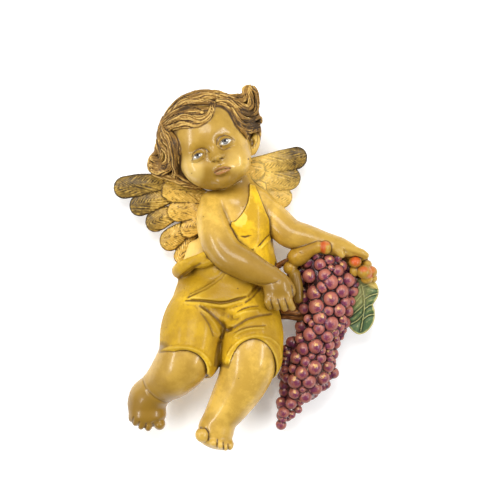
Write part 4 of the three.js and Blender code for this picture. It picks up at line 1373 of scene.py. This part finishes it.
for x, z, size, strength in [
    (-11.2, 75.8, 1.1, 0.8), (15.4, 64.2, 0.8, 0.9), (28.6, -30.6, 0.8, 0.8), (40.4, -41, 0.8, 0.8),
    (32, -37, 0.5, 0.7),
    (-7, 92, 0.6, 0.5), (-40, 50, 0.7, 0.5), (-29, 8, 0.6, 0.6), (10, 18, 0.7, 0.5),
    (-64, -176, 0.7, 0.7), (6, -150, 0.6, 0.6),
]:
    skin_colour = layer(skin_colour, spot(x, z, size, size, 0, 0.3), strength, rgb(84, 52, 22))


# Paint on the hair: dark brown between the strands, tan rubbed along their ridges
strand = node("ShaderNodeSeparateXYZ", tree)
put(strand.inputs[0], attribute("strand_at", "Vector"))
stretched = node("ShaderNodeCombineXYZ", tree)
put(stretched.inputs[0], strand.outputs[0])
put(stretched.inputs[1], maths(tree, "MULTIPLY", strand.outputs[1], 0.09))
streak = noise(tree, stretched.outputs[0], 1.0, 3.0, 0.6)
hair_relief = maths(tree, "ADD", relief, maths(tree, "MULTIPLY_ADD", streak, 0.8, -0.4))
hair_relief = maths(tree, "ADD", hair_relief, maths(tree, "MULTIPLY_ADD", strand.outputs[2], 0.2, -0.02))
for x, z, rx, rz, turn, strength in [
    # where the locks part and the wash lies deep
    (-36, 116, 15, 3.2, 6, 0.85), (-50, 111, 8, 2.4, 30, 0.6), (-11, 113, 11, 3.2, -32, 0.85),
    (1, 104, 9, 2.6, -58, 0.7),
    (12, 112, 7, 3.6, -10, 0.8), (6, 126, 7, 3.6, -70, 0.6), (-56, 72, 4, 17, 6, 0.7),
    (-50, 52, 8, 4, -40, 0.8),
    (-66, 56, 6, 2.6, -30, 0.7), (-76, 68, 4, 6, 0, 0.5), (18, 100, 9, 4, 0, 0.6),
    (-44, 130, 34, 5, 14, 0.4),
    (24, 116, 6, 20, 0, 0.7), (-66, 88, 12, 20, 0, 0.2), (14, 98, 13, 12, 0, 0.5),
]:
    hair_relief = maths(tree, "MULTIPLY_ADD", spot(x, z, rx, rz, turn, 0.5), 0.3 * strength, hair_relief)
hair_colour = colour_of(
    rgb(142, 104, 44), rgb(108, 76, 28), rgb(208, 170, 92), rgb(44, 28, 6), relief=hair_relief,
    Patch_amount=0.9, Light_amount=0.85, Wash_amount=0.9, Wash_start=0.0, Wash_end=0.3, Shade_amount=0.85,
)

# Paint on the romper: golden yellow, with the dark wash and painted shade in the folds
cloth_colour = colour_of(
    rgb(224, 180, 28), rgb(172, 130, 14), rgb(240, 208, 92), rgb(84, 56, 8),
    Patch_amount=0.8, Light_amount=0.6, Wash_amount=0.9, Wash_start=0.02, Wash_end=0.15, Shade_amount=0.8,
)
# Darker patches on the romper: a thicker glaze in places, and painted shade in the crotch and between the
# legs
for x, z, rx, rz, turn, strength in [
    (-8, -62, 26, 15, 10, 0.85), (-14, -96, 12, 16, 30, 0.5), (26, -98, 26, 14, 8, 0.7),
    (-50, -104, 32, 26, 0, 0.6),
    (-40, -48, 24, 13, 30, 0.7), (-15, -124, 7, 22, 0, 0.6), (28, -64, 16, 22, 0, 0.6),
    (-66, -78, 10, 24, -10, 0.4), (40, -126, 12, 22, 0, 0.5),
]:
    cloth_colour = layer(cloth_colour, spot(x, z, rx, rz, turn, 0.5), strength, rgb(146, 110, 12))
for points, width, strength in [
    # the wash lying in the folds, deepened as painted shade in the folds that run into the crotch
    ([(-32, -80), (-24, -85), (-16, -92), (-6, -103.5)], 2.4, 0.75),
    ([(-6, -104), (2, -100), (14, -92.6), (26, -89.3), (38, -88)], 2.2, 0.75),
    ([(-7, -103), (-12, -113), (-15, -128), (-16, -139)], 3.2, 0.7),
    ([(-46, -75), (-30, -75.4), (-16, -77), (0, -75), (13, -71)], 1.6, 0.6),
    ([(-45, -72), (-28, -61.8), (-18, -55.5)], 1.2, 0.5),
    ([(-57, -56), (-48, -49.4), (-38, -42), (-32, -38.4)], 2.0, 0.75),
    ([(9, -82.4), (17, -80.2), (25, -80)], 1.2, 0.6), ([(6, -103), (14, -100), (32, -98.6)], 1.2, 0.5),
    ([(-31, -87), (-24, -96), (-19, -109)], 1.4, 0.5), ([(8, -11.2), (13, -12), (18, -10.6)], 0.9, 0.6),
    ([(25, -21.6), (30, -16.6), (36, -9.8)], 1.0, 0.6), ([(13, -76), (20, -71), (27, -63)], 1.4, 0.6),
]:
    cloth_colour = layer(cloth_colour, painted_line(points, width, 0.8), strength, rgb(88, 60, 10))

# Paint on the wings: old gold, duller and darker towards the tips, with a dark line round each feather
streak = noise(tree, stretched.outputs[0], 0.8, 3.0, 0.6)
wing_relief = maths(tree, "ADD", relief, maths(tree, "MULTIPLY_ADD", streak, 0.8, -0.38))
wing_relief = maths(
    tree, "ADD", wing_relief, maths(tree, "MULTIPLY_ADD", noise(tree, place, 300.0, 3.0), 0.6, -0.3),
)
wing_relief = maths(tree, "ADD", wing_relief, ramp(tree, strand.outputs[2], -1.9, -0.4, 0.0, 0.34))
near_gold = colour_of(
    rgb(218, 174, 74), rgb(176, 134, 46), rgb(246, 212, 118), rgb(70, 48, 12), relief=wing_relief,
    Patch_amount=0.8, Light_amount=0.9, Wash_amount=0.85, Wash_start=0.04, Wash_end=0.2, Shade_amount=0.4,
)
tip_gold = colour_of(
    rgb(126, 98, 36), rgb(94, 72, 24), rgb(180, 146, 62), rgb(46, 32, 8), relief=wing_relief,
    Patch_amount=0.9, Light_amount=0.9, Wash_amount=0.9, Wash_start=-0.02, Wash_end=0.18,
    Shade_amount=0.4,
)
near_gold = layer(near_gold, ramp(tree, figure_x, -10.0, 20.0), 0.3, rgb(252, 220, 122))
left_tip = ramp(tree, figure_x, -60.0, -92.0)
right_tip = maths(
    tree, "MULTIPLY", ramp(tree, figure_x, 32.0, 64.0), ramp(tree, figure_z, 26.0, 58.0, 0.25, 1.0),
)
wing_colour = mixed(tree, maths(tree, "MAXIMUM", left_tip, right_tip), near_gold, tip_gold)

# Paint on the grapes: mauve, with purple blotches, a pink painted highlight on top of each berry, cream
# rubs on some that also act as painted highlights, and dark seams between them
grape_relief = maths(tree, "ADD", relief, ramp(tree, attribute("berry_seam"), 2.0, 0.2, 0.0, 0.3))
grape_colour = colour_of(
    rgb(166, 96, 82), rgb(128, 62, 62), rgb(206, 144, 108), rgb(30, 12, 12), relief=grape_relief,
    Patch_amount=0.6, Light_amount=0.3, Wash_amount=0.95, Wash_start=0.02, Wash_end=0.2,
    Shade_amount=0.85,
)
grape_colour = layer(grape_colour, ramp(tree, figure_z, -90.0, -170.0), 0.35, rgb(104, 54, 50))
grape_colour = layer(grape_colour, turned_away, 1.0, rgb(116, 64, 56))
berry = node("ShaderNodeSeparateXYZ", tree)
put(berry.inputs[0], attribute("berry_at", "Vector"))
chance = berry.outputs[2]
swirl = maths(tree, "MULTIPLY_ADD", noise(tree, place, 420.0, 3.0, 0.6), 1.5, -0.7)
# The purple blotch is paint; the pink dab on the top of every berry is a painted highlight, and the cream
# dab on some berries is a rub of paint that also stands for a painted highlight
DABS = [
    # across, up, how each berry's chance moves it, size, colour, strength, least chance
    (0.0, -0.12, 0.5, 0.78, rgb(96, 30, 68), 0.85, 0.0),
    (-0.1, 0.42, -0.6, 0.4, rgb(196, 132, 104), 0.5, 0.0),
    (-0.2, 0.3, 0.7, 0.42, rgb(222, 178, 100), 0.7, 0.62),
]
for across, up, sway, size, colour, strength, least in DABS:
    moved = maths(tree, "MULTIPLY_ADD", chance, sway, across - sway / 2)
    bx = maths(tree, "SUBTRACT", berry.outputs[0], moved)
    bz = maths(tree, "SUBTRACT", berry.outputs[1], up)
    off = maths(tree, "SQRT", maths(tree, "MULTIPLY_ADD", bx, bx, maths(tree, "MULTIPLY", bz, bz)))
    dab = ramp(tree, maths(tree, "ADD", off, swirl), size, size * 0.4)
    picked = ramp(tree, chance, least - 0.08, least + 0.02)
    grape_colour = layer(grape_colour, maths(tree, "MULTIPLY", dab, picked), strength, colour)

# Paint on the fruit: ochre, with red on the ripe sides
fruit_colour = colour_of(
    rgb(174, 134, 38), rgb(142, 104, 26), rgb(220, 184, 88), rgb(74, 46, 12),
    Patch_amount=0.8, Light_amount=0.5, Wash_amount=0.9, Wash_start=0.03, Wash_end=0.22, Shade_amount=0.7,
)
blotch = maths(tree, "MULTIPLY_ADD", noise(tree, place, 210.0, 3.0), 1.4, -0.7)
for x, z, rx, rz, colour, strength in [
    (89.4, -22, 2.4, 7, rgb(176, 60, 22), 0.8), (92, -18, 4, 2.4, rgb(186, 84, 34), 0.7),
    (122, -36, 4.6, 4.4, rgb(190, 72, 28), 0.85), (130, -44, 4, 2.6, rgb(184, 76, 40), 0.7),
    (139, -45, 3.4, 3.4, rgb(192, 100, 44), 0.7), (137, -51, 3, 2, rgb(186, 80, 44), 0.6),
]:
    mask = maths(tree, "ADD", spot(x, z, rx, rz, 0, 0.5), maths(tree, "MULTIPLY", blotch, 0.5))
    mask = maths(
        tree, "MULTIPLY", maths(tree, "MAXIMUM", mask, 0.0), spot(x, z, rx * 1.5, rz * 1.5, 0, 0.2),
    )
    fruit_colour = layer(fruit_colour, mask, strength, colour)
# Darker where the fruit runs down behind the fist, partly glaze and partly painted shade
fruit_colour = layer(fruit_colour, spot(65, -64, 8, 22, 0, 0.4), 0.7, rgb(96, 68, 20))

# Paint on the leaf and the stem
leaf_colour = colour_of(
    rgb(98, 114, 66), rgb(62, 88, 54), rgb(190, 182, 114), rgb(30, 38, 16),
    Patch_amount=0.9, Light_amount=0.75, Wash_amount=0.8, Wash_start=0.04, Wash_end=0.2, Shade_amount=0.4,
)
vein_line = ramp(tree, strand.outputs[1], 1.3, 0.3)
leaf_colour = layer(leaf_colour, vein_line, 0.2, rgb(168, 164, 108))
beside_vein = maths(
    tree, "MULTIPLY", ramp(tree, strand.outputs[1], 0.3, 0.8), ramp(tree, strand.outputs[1], 2.0, 0.9),
)
leaf_colour = layer(leaf_colour, beside_vein, 0.8, rgb(32, 46, 20))
leaf_colour = layer(leaf_colour, ramp(tree, strand.outputs[0], -1.6, -0.5), 0.6, rgb(196, 176, 104))
leaf_colour = layer(leaf_colour, spot(120, -64, 12, 15, 30, 0.7), 0.5, rgb(160, 152, 90))
leaf_colour = layer(leaf_colour, spot(143, -58, 6, 5, 0, 0.5), 0.8, rgb(214, 184, 96))
stem_colour = colour_of(
    rgb(124, 76, 30), rgb(88, 50, 20), rgb(176, 124, 62), rgb(34, 18, 6),
    Patch_amount=0.7, Light_amount=0.5, Wash_amount=0.9, Wash_start=-0.02, Wash_end=0.18,
    Shade_amount=0.8,
)

colour = skin_colour
border, gloss = 0.0, 0.45
for name, over, shine in [
    ("hair", hair_colour, 0.06), ("cloth", cloth_colour, 0.12), ("wing", wing_colour, 0.14),
    ("grape", grape_colour, 0.4), ("fruit", fruit_colour, 0.3), ("leaf", leaf_colour, 0.14),
    ("stem", stem_colour, 0.1),
]:
    nearness = attribute("is_" + name)
    mask = ramp(tree, nearness, 0.2, -0.2)
    colour = mixed(tree, mask, colour, over)
    gloss = maths(tree, "MULTIPLY_ADD", mask, maths(tree, "SUBTRACT", shine, gloss), gloss)
    border = maths(tree, "MAXIMUM", ramp(tree, maths(tree, "ABSOLUTE", nearness), 1.1, 0.2), border)
colour = layer(colour, border, 0.62, rgb(74, 48, 14))
colour = layer(colour, ramp(tree, figure_parts.outputs[1], 2.0, 0.8), 1.0, rgb(188, 158, 104))

# Small dark specks where the paint has chipped
speck = node("ShaderNodeTexVoronoi", tree)
put(speck.inputs["Vector"], place)
put(speck.inputs["Scale"], 62.0)
dot = maths(tree, "LESS_THAN", speck.outputs["Distance"], 0.05)
some = maths(tree, "GREATER_THAN", noise(tree, place, 21.0, 1.0), 0.54)
colour = layer(colour, maths(tree, "MULTIPLY", dot, some), 0.7, rgb(64, 42, 18))

surface = node("ShaderNodeBsdfPrincipled", tree)
put(surface.inputs["Base Color"], colour)
put(surface.inputs["Roughness"], ramp(tree, gloss, 0.1, 0.4, 0.6, 0.42))
put(surface.inputs["Specular IOR Level"], 0.22)
put(surface.inputs["Coat Weight"], gloss)
put(surface.inputs["Coat Roughness"], 0.18)
bump = node("ShaderNodeBump", tree)
put(bump.inputs["Strength"], ramp(tree, gloss, 0.1, 0.45, 0.9, 0.5))
put(bump.inputs["Distance"], 0.0012)
put(bump.inputs["Height"], noise(tree, place, 120.0, 6.0, 0.6))
put(surface.inputs["Normal"], bump.outputs[0])
out = node("ShaderNodeOutputMaterial", tree)
put(out.inputs[0], surface.outputs[0])
mesh.materials.clear()
mesh.materials.append(paint)
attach(plaque, "root")
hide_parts("cherub_plaque")

# Backdrop
# A plain white board that the plaque hangs on, with no frame or join in view.
# It shows only from its front, so that a view from behind sees the back of the plaque.

corners = np.array([(-3, 0.003, -3), (3, 0.003, -3), (3, 0.003, 3), (-3, 0.003, 3)], dtype=float)
board_mesh = mesh_from("white_board", corners, np.array([[0, 1, 2, 3]]))
board = bpy.data.objects.new("white_board", board_mesh)
bpy.context.scene.collection.objects.link(board)
white = bpy.data.materials.new("white_board")
white.use_nodes = True
board_tree = white.node_tree
board_surface = board_tree.nodes["Principled BSDF"]
put(board_surface.inputs["Base Color"], (0.93, 0.93, 0.93, 1))
put(board_surface.inputs["Roughness"], 0.9)
put(board_surface.inputs["Emission Color"], (1, 1, 1, 1))
put(board_surface.inputs["Emission Strength"], 0.16)
put(board_surface.inputs["Specular IOR Level"], 0.1)
behind = node("ShaderNodeNewGeometry", board_tree)
clear = node("ShaderNodeBsdfTransparent", board_tree)
pick = node("ShaderNodeMixShader", board_tree)
put(pick.inputs[0], behind.outputs["Backfacing"])
put(pick.inputs[1], board_surface.outputs[0])
put(pick.inputs[2], clear.outputs[0])
put(board_tree.nodes["Material Output"].inputs[0], pick.outputs[0])
board_mesh.materials.append(white)

# Lights
# One soft box above the camera, and a tall narrow one on each side for the long shine on arms and legs.
# The room is an even white, darker below.

world = bpy.data.worlds.new("white_room")
world.use_nodes = True
sky = world.node_tree
level = node("ShaderNodeSeparateXYZ", sky)
put(level.inputs[0], node("ShaderNodeTexCoord", sky).outputs["Generated"])
put(sky.nodes["Background"].inputs["Color"], (1, 1, 1, 1))
put(sky.nodes["Background"].inputs["Strength"], ramp(sky, level.outputs[2], -0.9, 0.9, 0.26, 0.68))
bpy.context.scene.world = world


def soft_box(name, position, size, power):
    light = bpy.data.lights.new(name, "AREA")
    light.shape = "RECTANGLE"
    light.size, light.size_y = size
    light.energy = power
    box = bpy.data.objects.new(name, light)
    box.location = position
    box.rotation_euler = (Vector((0, -0.05, 0)) - Vector(position)).to_track_quat("-Z", "Y").to_euler()
    bpy.context.scene.collection.objects.link(box)


soft_box("soft_box_above", (-0.1, -1.3, 0.55), (0.7, 0.5), 10)
soft_box("soft_box_left", (-1.0, -0.97, -0.05), (0.12, 1.2), 12)
soft_box("soft_box_right", (1.0, -0.97, -0.05), (0.12, 1.2), 12)

# Camera
# Straight in front of the plaque, 1.4 m away, framed as in the photograph.

camera_data = bpy.data.cameras.new("camera")
camera = bpy.data.objects.new("camera", camera_data)
DISTANCE = 1.4
MIDDLE = Vector((0.017, -0.048, -0.025)) * (GRID / 0.001)
camera.location = MIDDLE + Vector((0, -DISTANCE, 0))
camera.rotation_euler = (math.radians(90), 0, 0)
camera_data.sensor_width = 36.0
camera_data.lens = 36.0 * DISTANCE / (0.5 * GRID / 0.001)
camera_data.clip_end = 20.0
bpy.context.scene.collection.objects.link(camera)
bpy.context.scene.camera = camera
bpy.context.scene.view_settings.view_transform = "Standard"
